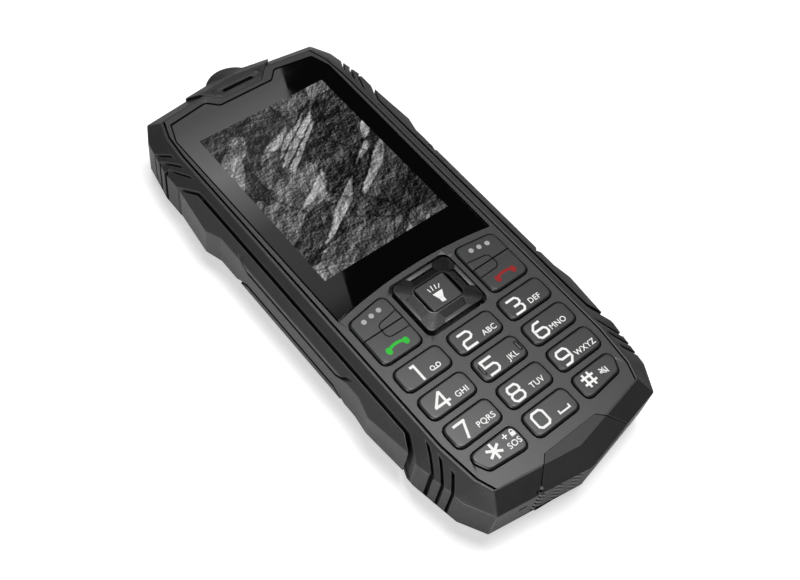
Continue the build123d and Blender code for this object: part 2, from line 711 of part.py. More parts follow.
def cap_form(grow=0.0):
    """Earpiece island and torch bump, as one form that the armour and panel make room for."""
    island = plate(island_points(grow), ARMOUR_Z, FACE_Z) & body_form(-CAP_PROUD - grow)
    bump = rod(TORCH_BUMP_RADIUS + grow, 0, TORCH_Y, ARMOUR_Z, SHOULDER_Z)
    bump += Pos(0, TORCH_Y, SHOULDER_Z) * Cone(
        TORCH_BUMP_RADIUS + grow, TORCH_BUMP_FLAT + grow, SHOULDER_DROP,
        align=(Align.CENTER, Align.CENTER, Align.MIN))
    foot_y = HALF_LENGTH - CAP_FOOT_DROP - grow
    back_y = HALF_LENGTH - CAP_BACK_DROP - grow
    upper = block(-HALF_WIDTH, HALF_WIDTH, foot_y, HALF_LENGTH + 1, PANEL_Z - grow, FACE_Z + 1)
    lower = block(-HALF_WIDTH, HALF_WIDTH, back_y, HALF_LENGTH + 1, ARMOUR_Z, PANEL_Z)
    return (island + bump) & (upper + lower)


def ear_slot(length, breadth, low, high):
    return Pos(0, EAR_SLOT_Y, low) * extrude(SlotOverall(length, breadth), high - low)


def top_cap():
    cap = cap_form()
    rim = ear_slot(EAR_RIM_LENGTH, EAR_RIM_BREADTH, FACE_Z - EAR_RIM_HEIGHT, FACE_Z + EAR_RIM_HEIGHT)
    inner = (EAR_RIM_LENGTH - 2 * EAR_RIM_WALL, EAR_RIM_BREADTH - 2 * EAR_RIM_WALL)
    cap += rim - ear_slot(*inner, FACE_Z - 1, FACE_Z + 1)
    cap -= ear_slot(EAR_SLOT_LENGTH, EAR_SLOT_WIDTH, PANEL_Z - 1, FACE_Z + 1)
    mesh_room = ear_slot(
        EAR_SLOT_LENGTH + 2, EAR_SLOT_WIDTH + 1, PANEL_Z - 1, PANEL_Z + EAR_MESH_THICKNESS)
    back_y = HALF_LENGTH - CAP_BACK_DROP
    bore = rod_along_y(TORCH_BORE_RADIUS, 0, back_y + TORCH_LED_THICKNESS, HALF_LENGTH + 1, TORCH_Z)
    led_room = block(
        -TORCH_LED_SIZE / 2 - TORCH_FIT, TORCH_LED_SIZE / 2 + TORCH_FIT, back_y - 1,
        back_y + TORCH_LED_THICKNESS + 1,
        TORCH_Z - TORCH_LED_SIZE / 2 - TORCH_FIT, TORCH_Z + TORCH_LED_SIZE / 2 + TORCH_FIT)
    return cap - mesh_room - bore - led_room


def torch_lens():
    outer_y = HALF_LENGTH - TORCH_LENS_INSET
    return rod_along_y(
        TORCH_BORE_RADIUS - TORCH_FIT, 0, outer_y - TORCH_LENS_THICKNESS, outer_y, TORCH_Z)


def torch_led():
    back_y = HALF_LENGTH - CAP_BACK_DROP
    half = TORCH_LED_SIZE / 2
    return block(-half, half, back_y, back_y + TORCH_LED_THICKNESS, TORCH_Z - half, TORCH_Z + half)


def earpiece_mesh():
    return ear_slot(EAR_SLOT_LENGTH + 1.8, EAR_SLOT_WIDTH + 0.8, PANEL_Z, PANEL_Z + EAR_MESH_THICKNESS)


def earpiece_speaker():
    high_y = CAVITY_TOP_Y - HOUSING_CLEARANCE
    half = EARPIECE_LENGTH / 2
    return block(-half, half, high_y - EARPIECE_WIDTH, high_y, LEDGE_Z - EARPIECE_HEIGHT, LEDGE_Z)


def rail_slot(gap_top, gap_bottom, reach, bend):
    """Plan of the right rail's place in the armour, less a gap at each end."""
    top = RAIL_TOP_Y - gap_top
    bottom = -RAIL_BOTTOM_Y - RAIL_GAP_BOTTOM + gap_bottom
    rise = (HALF_WIDTH - RAIL_POCKET_X) * RAIL_RAKE
    over = reach * RAIL_RAKE
    points = [
        (RAIL_POCKET_X, bottom + rise),
        (HALF_WIDTH + reach, bottom - over),
        (HALF_WIDTH + reach, top + over),
        (RAIL_POCKET_X, top - rise),
    ]
    outline = Polygon(*points, align=None)
    inner_corners = outline.vertices().group_by(Axis.X)[0]
    return extrude(fillet(inner_corners, bend), FACE_Z + 1)


def rail_outer_points(bottom_flare):
    """Outer edge of the right rail: two flared ends and a straight middle."""
    peak = HALF_WIDTH + RAIL_PROUD
    return [
        (RAIL_POCKET_X - 1, -HALF_LENGTH),
        (HALF_WIDTH - 0.3, -RAIL_BOTTOM_Y),
        (HALF_WIDTH + bottom_flare, -RAIL_PEAK_BOTTOM_Y),
        (HALF_WIDTH, -RAIL_NECK_BOTTOM_Y),
        (HALF_WIDTH, RAIL_NECK_TOP_Y),
        (peak, RAIL_PEAK_TOP_Y),
        (HALF_WIDTH - 0.1, RAIL_TOP_Y),
        (RAIL_POCKET_X - 1, HALF_LENGTH),
    ]


def rail_groove(z_middle, z_end):
    """A long groove along the rail that turns off towards an edge at both ends."""
    path = [
        (-RAIL_BAR_BOTTOM_Y - RAIL_GROOVE_RUN, z_end),
        (-RAIL_BAR_BOTTOM_Y, z_middle),
        (RAIL_BAR_TOP_Y, z_middle),
        (RAIL_BAR_TOP_Y + RAIL_GROOVE_RUN, z_end),
    ]
    half = RAIL_GROOVE_WIDTH / 2
    low = [(y, z - half) for y, z in path]
    high = [(y, z + half) for y, z in reversed(path)]
    outline = Plane.YZ * Polygon(*(low + high), align=None)
    return Pos(HALF_WIDTH - RAIL_GROOVE_DEPTH, 0, 0) * extrude(outline, RAIL_GROOVE_DEPTH + 3)


def side_rail(side):
    slope = SHOULDER_DROP / (HALF_WIDTH - ridge_x_at(0))
    reach = RAIL_PROUD + 1

    def top_z(x):
        return FACE_Z - (x - ridge_x_at(0)) * slope

    seat_x = RAIL_POCKET_X + RAIL_SEAT
    valley_x = RAIL_POCKET_X + RAIL_VALLEY
    outer_x = HALF_WIDTH + reach
    valley_z = top_z(valley_x) - RAIL_VALLEY_DEPTH
    profile = [
        (seat_x, RAIL_Z),
        (outer_x, RAIL_Z),
        (outer_x, top_z(outer_x)),
        (valley_x, top_z(valley_x)),
        (valley_x, valley_z),
        (seat_x, valley_z),
    ]
    section = Plane.XZ * Polygon(*profile, align=None)
    bar = extrude(section, HALF_LENGTH, both=True)
    foot = Pos(0, 0, RAIL_Z) * Polygon(*rail_outer_points(RAIL_PROUD_FOOT), align=None)
    crest_points = rail_outer_points(RAIL_PROUD_BOTTOM)
    crest = Pos(0, 0, SHOULDER_Z) * Polygon(*crest_points, align=None)
    flank = loft([foot, crest], ruled=True) + plate(crest_points, SHOULDER_Z, FACE_Z)
    place = rail_slot(RAIL_GAP_TOP, RAIL_GAP_BOTTOM, reach, RAIL_BEND - RAIL_SEAT)
    rail = bar & place & flank
    bar_top = SHOULDER_Z - RAIL_BAR_TOP_DROP
    bar_low = bar_top - RAIL_BAR_HEIGHT - RAIL_GROOVE_WIDTH
    rail -= rail_groove(bar_top, bar_top + RAIL_GROOVE_RISE)
    rail -= rail_groove(bar_low, bar_low - RAIL_GROOVE_RISE)
    return rail if side > 0 else mirror(rail, Plane.YZ)


def chevron_cutters():
    """Grooves that fan across each bumper's shoulder and run down its wall."""
    cutters = None
    bumpers = ((1, CHEVRON_TOP_REACH, CHEVRON_TOP_Y), (-1, CHEVRON_BOTTOM_REACH, CHEVRON_BOTTOM_Y))
    for end, reach, outer_y in bumpers:
        start_x = HALF_WIDTH - reach
        for index in range(CHEVRON_COUNT):
            edge_y = outer_y - index * CHEVRON_PITCH
            start_y = edge_y - CHEVRON_RAKE - index * CHEVRON_FAN
            corner_x = HALF_WIDTH - CHEVRON_DEPTH
            half = CHEVRON_WIDTH / 2
            points = [
                (start_x, start_y - half),
                (corner_x, edge_y - half),
                (HALF_WIDTH + 1, edge_y - half),
                (HALF_WIDTH + 1, edge_y + half),
                (corner_x, edge_y + half),
                (start_x, start_y + half),
            ]
            if end < 0:
                points = [(x, -y) for x, y in reversed(points)]
            for outline in (points, mirrored(points)):
                cutter = plate(outline, ARMOUR_Z - 1, FACE_Z + 1)
                cutters = cutter if cutters is None else cutters + cutter
    return cutters - body_form(CHEVRON_DEPTH)


# Port flap: a leaf that wraps from the face over the shoulder and down the bottom wall
FLAP_Z = ARMOUR_Z + FLAP_LIFT
FLAP_HINGE_X = -FLAP_WALL_HALF + FLAP_BARREL_RADIUS
FLAP_HINGE_Y = (
    -HALF_LENGTH + BOTTOM_POINT * abs(FLAP_HINGE_X) / BOTTOM_CORNER_X + FLAP_BARREL_INSET)
PORT_Z = BOARD_TOP_Z - BOARD_THICKNESS / 2
PORT_FLOOR_Y = -HALF_LENGTH + PORT_POCKET_DEPTH


def flap_points(grow):
    face_y = -HALF_LENGTH + FLAP_FACE_DROP + grow
    half = [
        (FLAP_WALL_HALF + grow, -HALF_LENGTH - 1),
        (FLAP_WALL_HALF + grow, face_y - (FLAP_WALL_HALF - FLAP_FACE_HALF)),
        (FLAP_FACE_HALF + grow, face_y),
    ]
    return half + mirrored(half)


def flap_form(grow=0.0):
    """The leaf itself, or with a gap round it, the place it lies in."""
    leaf = plate(flap_points(grow), FLAP_Z - grow, FACE_Z + max(grow, 0) * 10)
    return (leaf & body_form(-grow)) - body_form(FLAP_SKIN + grow)


def flap_barrel(radius, low, high):
    return rod(radius, FLAP_HINGE_X, FLAP_HINGE_Y, low, high)


BARREL_TOP_Z = SHOULDER_Z


def port_flap():
    near_hinge = block(
        -HALF_WIDTH, FLAP_HINGE_X, -HALF_LENGTH - 1, 0, 0, FACE_Z + 1)
    leaf = flap_form() - near_hinge
    leaf += flap_barrel(FLAP_BARREL_RADIUS, FLAP_Z, BARREL_TOP_Z)
    return leaf - flap_barrel(FLAP_PIN_RADIUS + FLAP_PIN_FIT, 0, FACE_Z)


def flap_pin():
    return post(FLAP_PIN_RADIUS, FLAP_HINGE_X, FLAP_HINGE_Y, ARMOUR_Z, BARREL_TOP_Z + FLAP_LIFT)


def flap_room():
    """What the armour and the panel give up to the flap, its barrel and its pin."""
    room = flap_form(FLAP_GAP)
    barrel = FLAP_BARREL_RADIUS + FLAP_BARREL_GAP
    room += flap_barrel(barrel, FLAP_Z - FLAP_GAP, BARREL_TOP_Z + FLAP_BARREL_GAP)
    return room + flap_barrel(FLAP_PIN_RADIUS, ARMOUR_Z - 1, BARREL_TOP_Z + FLAP_LIFT)


def socket_form(grow, y_low, y_high):
    points = [
        (-SOCKET_WIDTH / 2 - grow, PORT_Z - SOCKET_HEIGHT / 2 - grow),
        (SOCKET_WIDTH / 2 + grow, PORT_Z - SOCKET_HEIGHT / 2 - grow),
        (SOCKET_WIDTH / 2 + grow, PORT_Z + SOCKET_HEIGHT / 2 + grow),
        (-SOCKET_WIDTH / 2 - grow, PORT_Z + SOCKET_HEIGHT / 2 + grow),
    ]
    outline = stepped_face(points, SOCKET_CORNER + grow)
    return Pos(0, y_high, 0) * extrude(Plane.XZ * outline, y_high - y_low)


def usb_socket():
    back_y = PORT_FLOOR_Y + SOCKET_LENGTH
    shell = socket_form(0, PORT_FLOOR_Y, back_y)
    shell -= socket_form(-SOCKET_WALL, PORT_FLOOR_Y - 1, back_y - SOCKET_WALL)
    tongue = block(
        -SOCKET_WIDTH / 2 + 4 * SOCKET_WALL, SOCKET_WIDTH / 2 - 4 * SOCKET_WALL,
        PORT_FLOOR_Y + 2 * SOCKET_WALL, back_y - SOCKET_WALL,
        PORT_Z - SOCKET_WALL, PORT_Z + SOCKET_WALL)
    return shell + tongue


def mic_slot():
    wall_y = -HALF_LENGTH + BOTTOM_POINT * MIC_SLOT_X / BOTTOM_CORNER_X
    z = BOARD_Z - MIC_HEIGHT / 2
    return block(
        -MIC_SLOT_X - MIC_SLOT_LENGTH / 2, -MIC_SLOT_X + MIC_SLOT_LENGTH / 2, wall_y - 2,
        CAVITY_BOTTOM_Y + 1, z - MIC_SLOT_HEIGHT / 2, z + MIC_SLOT_HEIGHT / 2)


def armour_frame():
    """Rubberised frame round the phone: shoulder, bumpers and the places of rails, cap and flap."""
    frame = body_form()
    frame -= plate(cavity_points(0), ARMOUR_Z - 1, LEDGE_Z)
    frame -= plate(closed(OPENING_HALF), PANEL_Z, FACE_Z + 1)
    ledge = inset_ridge(RIDGE_WIDTH + PANEL_GROOVE + LEDGE_WIDTH, LEDGE_WIDTH)
    frame -= plate(closed(ledge), LEDGE_Z - 1, FACE_Z + 1)
    place = rail_slot(0, 0, RAIL_PROUD + 2, RAIL_BEND)
    frame -= place
    frame -= mirror(place, Plane.YZ)
    frame -= chevron_cutters()
    frame -= cap_form(CAP_GAP)
    frame -= flap_room()
    half = PORT_POCKET_WIDTH / 2
    frame -= block(
        -half, half, -HALF_LENGTH - 1, PORT_FLOOR_Y,
        PORT_Z - PORT_POCKET_HEIGHT / 2, PORT_Z + PORT_POCKET_HEIGHT / 2)
    frame -= socket_form(SOCKET_FIT, PORT_FLOOR_Y - 1, CAVITY_BOTTOM_Y + 1)
    return frame - mic_slot()


def image_window(margin, low, high):
    width, length = IMAGE_WIDTH + 2 * margin, IMAGE_LENGTH + 2 * margin
    return plate(rectangle(width, length, IMAGE_CENTRE_Y), low, high)


def face_panel():
    panel = plate(closed(PANEL_HALF), PANEL_Z, FACE_Z)
    panel -= Pos(0, 0, GLASS_BED_Z) * extrude(glass_outline(GLASS_GAP), PANEL_THICKNESS)
    panel -= image_window(LCD_MARGIN / 2, PANEL_Z - 1, FACE_Z + 1)
    for row, names in enumerate(KEY_GRID):
        for column, name in enumerate(names):
            panel -= raised(key_window(name, column, row), PANEL_Z - 1, FACE_Z + 1)
    for side in (-1, 1):
        panel -= raised(block_window(side), PANEL_Z - 1, FACE_Z + 1)
    nav = rectangle(NAV_WIDTH + 2 * KEY_GAP, NAV_LENGTH + 2 * KEY_GAP, NAV_Y)
    panel -= rounded(nav, NAV_CORNER + KEY_GAP, PANEL_Z - 1, FACE_Z + 1)
    panel -= plate(island_points(CAP_GAP), PANEL_Z - 1, FACE_Z + 1)
    return panel - flap_room()


def display_glass():
    return Pos(0, 0, GLASS_Z) * extrude(glass_outline(), GLASS_THICKNESS)


def glass_adhesive():
    bed = Pos(0, 0, GLASS_BED_Z) * extrude(glass_outline(-GLASS_GAP), GLASS_BED)
    return bed - image_window(LCD_MARGIN / 2 + GLASS_GAP, GLASS_BED_Z - 1, GLASS_Z + 1)


LCD_TOP_Z = min(PANEL_Z, GLASS_BED_Z) - LCD_AIR
LCD_HALF_WIDTH = IMAGE_WIDTH / 2 + LCD_MARGIN
LCD_TOP_Y = IMAGE_CENTRE_Y + IMAGE_LENGTH / 2 + LCD_MARGIN
LCD_BOTTOM_Y = IMAGE_CENTRE_Y - IMAGE_LENGTH / 2 - LCD_CHIN


def lcd_panel():
    return block(
        -LCD_HALF_WIDTH, LCD_HALF_WIDTH, LCD_BOTTOM_Y, LCD_TOP_Y,
        LCD_TOP_Z - LCD_PANEL_THICKNESS, LCD_TOP_Z)


def backlight_frame():
    """Light guide in its tray, standing on the board; the tray's walls hold the panel."""
    wall = LCD_FRAME_WALL
    tray = block(
        -LCD_HALF_WIDTH - wall, LCD_HALF_WIDTH + wall, LCD_BOTTOM_Y - wall, LCD_TOP_Y + wall,
        BOARD_TOP_Z, LCD_TOP_Z - wall)
    return tray - block(
        -LCD_HALF_WIDTH, LCD_HALF_WIDTH, LCD_BOTTOM_Y, LCD_TOP_Y,
        LCD_TOP_Z - LCD_PANEL_THICKNESS, FACE_Z)


WEB_TOP_Y = LCD_BOTTOM_Y - LCD_FRAME_WALL - HOUSING_CLEARANCE
WEB_BOTTOM_Y = PORT_FLOOR_Y + SOCKET_LENGTH + HOUSING_CLEARANCE
WEB_HALF_WIDTH = CAVITY_HALF_WIDTH - CAVITY_CHAMFER / 2 - BOARD_CLEARANCE


def keypad_web():
    """Silicone sheet under the keys, standing on its rim, with a hole for each stem."""
    web = block(
        -WEB_HALF_WIDTH, WEB_HALF_WIDTH, WEB_BOTTOM_Y, WEB_TOP_Y,
        DOME_SHEET_Z + DOME_SHEET, WEB_TOP_Z)
    web -= block(
        -WEB_HALF_WIDTH + WEB_RIM, WEB_HALF_WIDTH - WEB_RIM, WEB_BOTTOM_Y + WEB_RIM, WEB_TOP_Y - WEB_RIM,
        DOME_SHEET_Z, WEB_Z)
    for x, y in stem_places():
        web -= post(STEM_RADIUS + STEM_CLEARANCE, x, y, DOME_SHEET_Z, WEB_TOP_Z + 1)
    room = 2 * (FLANGE_WIDTH + KEY_GAP + STEM_CLEARANCE)
    nav_room = rectangle(NAV_WIDTH + room, NAV_LENGTH + room, NAV_Y)
    return web - plate(nav_room, DOME_SHEET_Z, WEB_TOP_Z + 1)


def dome_sheet():
    """Contact sheet with a snap dome under each stem."""
    sheet = block(
        -WEB_HALF_WIDTH, WEB_HALF_WIDTH, WEB_BOTTOM_Y, WEB_TOP_Y,
        DOME_SHEET_Z, DOME_SHEET_Z + DOME_SHEET)
    for x, y in stem_places() + [(0, NAV_Y)]:
        foot = Pos(x, y, DOME_SHEET_Z + DOME_SHEET) * RegularPolygon(DOME_RADIUS, POST_SIDES)
        crown = Pos(x, y, DOME_TOP_Z) * RegularPolygon(DOME_RADIUS / 2, POST_SIDES)
        sheet += loft([foot, crown], ruled=True)
    return sheet


def frame_screw_places():
    """Three screws down each side: near both ends and beside the bay."""
    high = CAVITY_TOP_Y - CAVITY_CHAMFER - FRAME_SCREW_BOSS
    low = CAVITY_BOTTOM_Y + CAVITY_CHAMFER + FRAME_SCREW_BOSS
    return [(side * FRAME_SCREW_X, y) for side in (-1, 1) for y in (low, high)]


def main_board():
    board = plate(cavity_points(BOARD_CLEARANCE), BOARD_Z, BOARD_TOP_Z)
    board -= block(
        -SOCKET_WIDTH / 2 - SOCKET_FIT, SOCKET_WIDTH / 2 + SOCKET_FIT, CAVITY_BOTTOM_Y,
        PORT_FLOOR_Y + SOCKET_LENGTH, BOARD_Z - 1, BOARD_TOP_Z + 1)
    board -= block(
        -EARPIECE_LENGTH / 2 - BOARD_CLEARANCE, EARPIECE_LENGTH / 2 + BOARD_CLEARANCE,
        CAVITY_TOP_Y - HOUSING_CLEARANCE - EARPIECE_WIDTH - BOARD_CLEARANCE, CAVITY_TOP_Y,
        BOARD_Z - 1, BOARD_TOP_Z + 1)
    for x, y in frame_screw_places():
        board -= post(FRAME_SCREW_SHANK + SCREW_FIT, x, y, BOARD_Z - 1, BOARD_TOP_Z + 1)
    return board


def shield_cans():
    """Two pressed covers over the radio parts, under the board and above the bay."""
    cans = []
    low_y, high_y = BAY_BOTTOM_Y + SHIELD_RISE, BAY_TOP_Y - SHIELD_TOP_DROP
    for low_x in (-SHIELD_SPACING / 2 - SHIELD_WIDTH, SHIELD_SPACING / 2):
        high_x = low_x + SHIELD_WIDTH
        can = block(low_x, high_x, low_y, high_y, BOARD_Z - SHIELD_HEIGHT, BOARD_Z)
        cans.append(can - block(
            low_x + SHIELD_WALL, high_x - SHIELD_WALL, low_y + SHIELD_WALL, high_y - SHIELD_WALL,
            BOARD_Z - SHIELD_HEIGHT + SHIELD_WALL, BOARD_Z + 1))
    return Compound(children=cans)


def sim_places():
    """The two card sockets side by side under the top of the battery."""
    x = (SIM_WIDTH + SIM_GAP) / 2
    y = BAY_TOP_Y - SIM_TOP_DROP - SIM_LENGTH / 2
    return [(-x, y), (x, y)]


def sim_sockets():
    sockets = []
    for x, y in sim_places():
        socket = block(
            x - SIM_WIDTH / 2, x + SIM_WIDTH / 2, y - SIM_LENGTH / 2, y + SIM_LENGTH / 2,
            BOARD_Z - SIM_HEIGHT, BOARD_Z)
        sockets.append(socket)
    return Compound(children=sockets)


def housing_form():
    """Back shell: a bevelled tray outside and a tub that fills the armour's cavity."""
    foot = Polygon(*closed(BACK_HALF), align=None)
    rim = Polygon(*closed(OUTER_HALF), align=None)
    tray = loft([foot, Pos(0, 0, ARMOUR_Z) * rim], ruled=True)
    under_rail = Pos(RAIL_UNDERCUT, 0, -1) * rail_slot(0, 0, RAIL_PROUD + 2, RAIL_BEND)
    tray -= under_rail
    tray -= mirror(under_rail, Plane.YZ)
    return tray + plate(cavity_points(HOUSING_CLEARANCE), ARMOUR_Z, ROOF_TOP_Z)


def cover_points(gap):
    half = COVER_HALF_WIDTH - gap
    return [
        (-half, COVER_BOTTOM_Y + gap),
        (half, COVER_BOTTOM_Y + gap),
        (half, COVER_TOP_Y - gap),
        (-half, COVER_TOP_Y - gap),
    ]


def cover_screw_places():
    y = COVER_BOTTOM_Y + COVER_SCREW_RISE
    return [(-COVER_SCREW_X, y), (COVER_SCREW_X, y)]


def bay_block(grow, low, high):
    half = BAY_HALF_WIDTH + grow
    return block(-half, half, BAY_BOTTOM_Y - grow, BAY_TOP_Y + grow, low, high)


def rear_housing():
    housing = housing_form()
    housing -= rounded(cover_points(0), COVER_CORNER, -1, BACK_WALL)
    housing -= bay_block(0, 0, ROOF_Z)
    housing -= bay_block(GASKET_WIDTH + COVER_GAP, 0, BACK_WALL + GASKET_THICKNESS)
    for x, y in sim_places():
        housing -= block(
            x - SIM_WIDTH / 2 - SIM_CLEARANCE, x + SIM_WIDTH / 2 + SIM_CLEARANCE,
            y - SIM_LENGTH / 2 - SIM_CLEARANCE, y + SIM_LENGTH / 2 + SIM_CLEARANCE,
            ROOF_Z - 1, ROOF_TOP_Z + 1)
    wall = HOUSING_WALL
    inner = CAVITY_HALF_WIDTH - HOUSING_CLEARANCE - wall
    top_y = CAVITY_TOP_Y - HOUSING_CLEARANCE - wall
    low_y = CAVITY_BOTTOM_Y + HOUSING_CLEARANCE + wall
    housing -= block(
        -inner + CAVITY_CHAMFER, inner - CAVITY_CHAMFER, BAY_TOP_Y + GASKET_WIDTH + 2 * wall, top_y,
        BACK_WALL, ROOF_TOP_Z + 1)
    housing -= block(
        -inner + CAVITY_CHAMFER, inner - CAVITY_CHAMFER, low_y, BAY_BOTTOM_Y - COVER_MARGIN_BOTTOM + wall,
        BACK_WALL + wall, ROOF_TOP_Z + 1)
    for x, y in frame_screw_places():
        housing += post(FRAME_SCREW_BOSS, x, y, ROOF_TOP_Z - wall, BOARD_Z)
        housing -= post(FRAME_SCREW_SHANK + SCREW_FIT, x, y, BACK_WALL, BOARD_Z + 1)
        housing -= post(FRAME_SCREW_HEAD + SCREW_FIT, x, y, -1, BACK_WALL + wall, HEAD_SIDES)
    for x, y in cover_screw_places():
        housing -= post(COVER_SCREW_SHANK, x, y, 0, COVER_SCREW_LENGTH + SCREW_SINK)
    housing -= rod(CAMERA_SIGHT_RADIUS, 0, CAMERA_Y, -1, BACK_WALL + 1)
    sink = CAMERA_WINDOW_SINK + CAMERA_WINDOW_THICKNESS
    housing -= rod(CAMERA_WINDOW_RADIUS + SCREW_FIT, 0, CAMERA_Y, -1, sink)
    half, side = GRILLE_SLOT_LENGTH / 2, GRILLE_SLOT_WIDTH / 2
    slot = Polygon(
        (half, 0), (half - side, side), (side - half, side), (-half, 0), (side - half, -side),
        (half - side, -side), align=None)
    for index in range(GRILLE_SLOTS):
        y = SPEAKER_Y + (index - (GRILLE_SLOTS - 1) / 2) * GRILLE_PITCH
        housing -= Pos(0, y, -1) * extrude(slot, BACK_WALL + 2)
    return housing


def contact_block_y():
    return BAY_BOTTOM_Y + BATTERY_CLEARANCE


def battery():
    low_y = contact_block_y() + CONTACT_BLOCK_LENGTH + BATTERY_CLEARANCE
    half = BAY_HALF_WIDTH - BATTERY_CLEARANCE
    high_y = BAY_TOP_Y - BATTERY_CLEARANCE
    points = [(-half, low_y), (half, low_y), (half, high_y), (-half, high_y)]
    return rounded(points, BATTERY_CORNER, BACK_WALL + BATTERY_CLEARANCE, ROOF_Z - BATTERY_CLEARANCE)


def battery_contacts():
    low_y = contact_block_y()
    half = CONTACT_BLOCK_WIDTH / 2
    return block(-half, half, low_y, low_y + CONTACT_BLOCK_LENGTH, BACK_WALL + 1, ROOF_Z)


def battery_cover():
    cover = rounded(cover_points(COVER_GAP), COVER_CORNER - COVER_GAP, 0, BACK_WALL)
    for x, y in cover_screw_places():
        cover -= rod(COVER_SCREW_HEAD + SCREW_FIT, x, y, -1, SCREW_SINK + COVER_SCREW_HEAD_HEIGHT)
        cover -= post(COVER_SCREW_SHANK + SCREW_FIT, x, y, -1, BACK_WALL + 1)
    return cover


def cover_gasket():
    outer = bay_block(GASKET_WIDTH, BACK_WALL, BACK_WALL + GASKET_THICKNESS)
    return outer - bay_block(COVER_GAP, BACK_WALL - 1, BACK_WALL + GASKET_THICKNESS + 1)


def cover_screws():
    screws = []
    for x, y in cover_screw_places():
        head = rod(COVER_SCREW_HEAD, x, y, SCREW_SINK, SCREW_SINK + COVER_SCREW_HEAD_HEIGHT)
        screws.append(head + post(COVER_SCREW_SHANK, x, y, SCREW_SINK, SCREW_SINK + COVER_SCREW_LENGTH))
    return Compound(children=screws)


def frame_screws():
    screws = []
    for x, y in frame_screw_places():
        low = BACK_WALL + SCREW_FIT
        head = post(FRAME_SCREW_HEAD, x, y, low, BACK_WALL + HOUSING_WALL, HEAD_SIDES)
        screws.append(head + post(FRAME_SCREW_SHANK, x, y, low, BOARD_TOP_Z))
    return Compound(children=screws)


def loudspeaker():
    low_z = BACK_WALL + SPEAKER_MESH
    return block(
        -SPEAKER_LENGTH / 2, SPEAKER_LENGTH / 2,
        SPEAKER_Y - SPEAKER_WIDTH / 2, SPEAKER_Y + SPEAKER_WIDTH / 2,
        low_z, low_z + SPEAKER_HEIGHT)


def speaker_mesh():
    return block(
        -SPEAKER_LENGTH / 2, SPEAKER_LENGTH / 2,
        SPEAKER_Y - SPEAKER_WIDTH / 2, SPEAKER_Y + SPEAKER_WIDTH / 2,
        BACK_WALL, BACK_WALL + SPEAKER_MESH)


def camera_module():
    half = CAMERA_SIZE / 2
    barrel = rod(CAMERA_WINDOW_RADIUS - 1, 0, CAMERA_Y, BACK_WALL, BACK_WALL + CAMERA_HEIGHT)
    return barrel + block(
        -half, half, CAMERA_Y - half, CAMERA_Y + half,
        BACK_WALL + CAMERA_HEIGHT / 3, BACK_WALL + CAMERA_HEIGHT)


def camera_window():
    low = CAMERA_WINDOW_SINK
    return rod(CAMERA_WINDOW_RADIUS, 0, CAMERA_Y, low, low + CAMERA_WINDOW_THICKNESS)


def vibration_motor():
    return rod(MOTOR_RADIUS, MOTOR_X, SPEAKER_Y, BOARD_Z - MOTOR_HEIGHT, BOARD_Z)


def antenna():
    high_y = CAVITY_TOP_Y - CAVITY_CHAMFER
    half = ANTENNA_WIDTH / 2
    return block(-half, half, high_y - ANTENNA_LENGTH, high_y, BOARD_Z - ANTENNA_THICKNESS, BOARD_Z)


def microphone():
    half = MIC_SIZE / 2
    low_y = CAVITY_BOTTOM_Y + HOUSING_CLEARANCE
    return block(
        -MIC_SLOT_X - half, -MIC_SLOT_X + half, low_y, low_y + MIC_SIZE, BOARD_Z - MIC_HEIGHT, BOARD_Z)


def all_parts():
    parts = {
        "armour_frame": armour_frame(),
        "side_rail_left": side_rail(-1),
        "side_rail_right": side_rail(1),
        "face_panel": face_panel(),
        "top_cap": top_cap(),
        "earpiece_mesh": earpiece_mesh(),
        "earpiece_speaker": earpiece_speaker(),
        "torch_lens": torch_lens(),
        "torch_led": torch_led(),
        "display_glass": display_glass(),
        "glass_adhesive": glass_adhesive(),
        "lcd_panel": lcd_panel(),
        "backlight_frame": backlight_frame(),
        "keypad_web": keypad_web(),
        "dome_sheet": dome_sheet(),
        "main_board": main_board(),
        "shield_cans": shield_cans(),
        "sim_sockets": sim_sockets(),
        "usb_socket": usb_socket(),
        "microphone": microphone(),
        "vibration_motor": vibration_motor(),
        "antenna": antenna(),
        "rear_housing": rear_housing(),
        "battery_contacts": battery_contacts(),
        "battery": battery(),
        "battery_cover": battery_cover(),
        "cover_gasket": cover_gasket(),
        "cover_screws": cover_screws(),
        "frame_screws": frame_screws(),
        "loudspeaker": loudspeaker(),
        "speaker_mesh": speaker_mesh(),
        "camera_module": camera_module(),
        "camera_window": camera_window(),
        "port_flap": port_flap(),
        "flap_pin": flap_pin(),
        "nav_pad": nav_pad(),
        "nav_ring": nav_ring(),
        "centre_key": centre_key(),
    }
    parts.update(number_keys())
    parts.update(side_keys())
    return parts


os.makedirs("parts", exist_ok=True)
for node, solid in all_parts().items():
    export_step(solid, f"parts/{node}.step")
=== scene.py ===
import bmesh
import bpy
import json
import math
from mathutils import Matrix, Vector

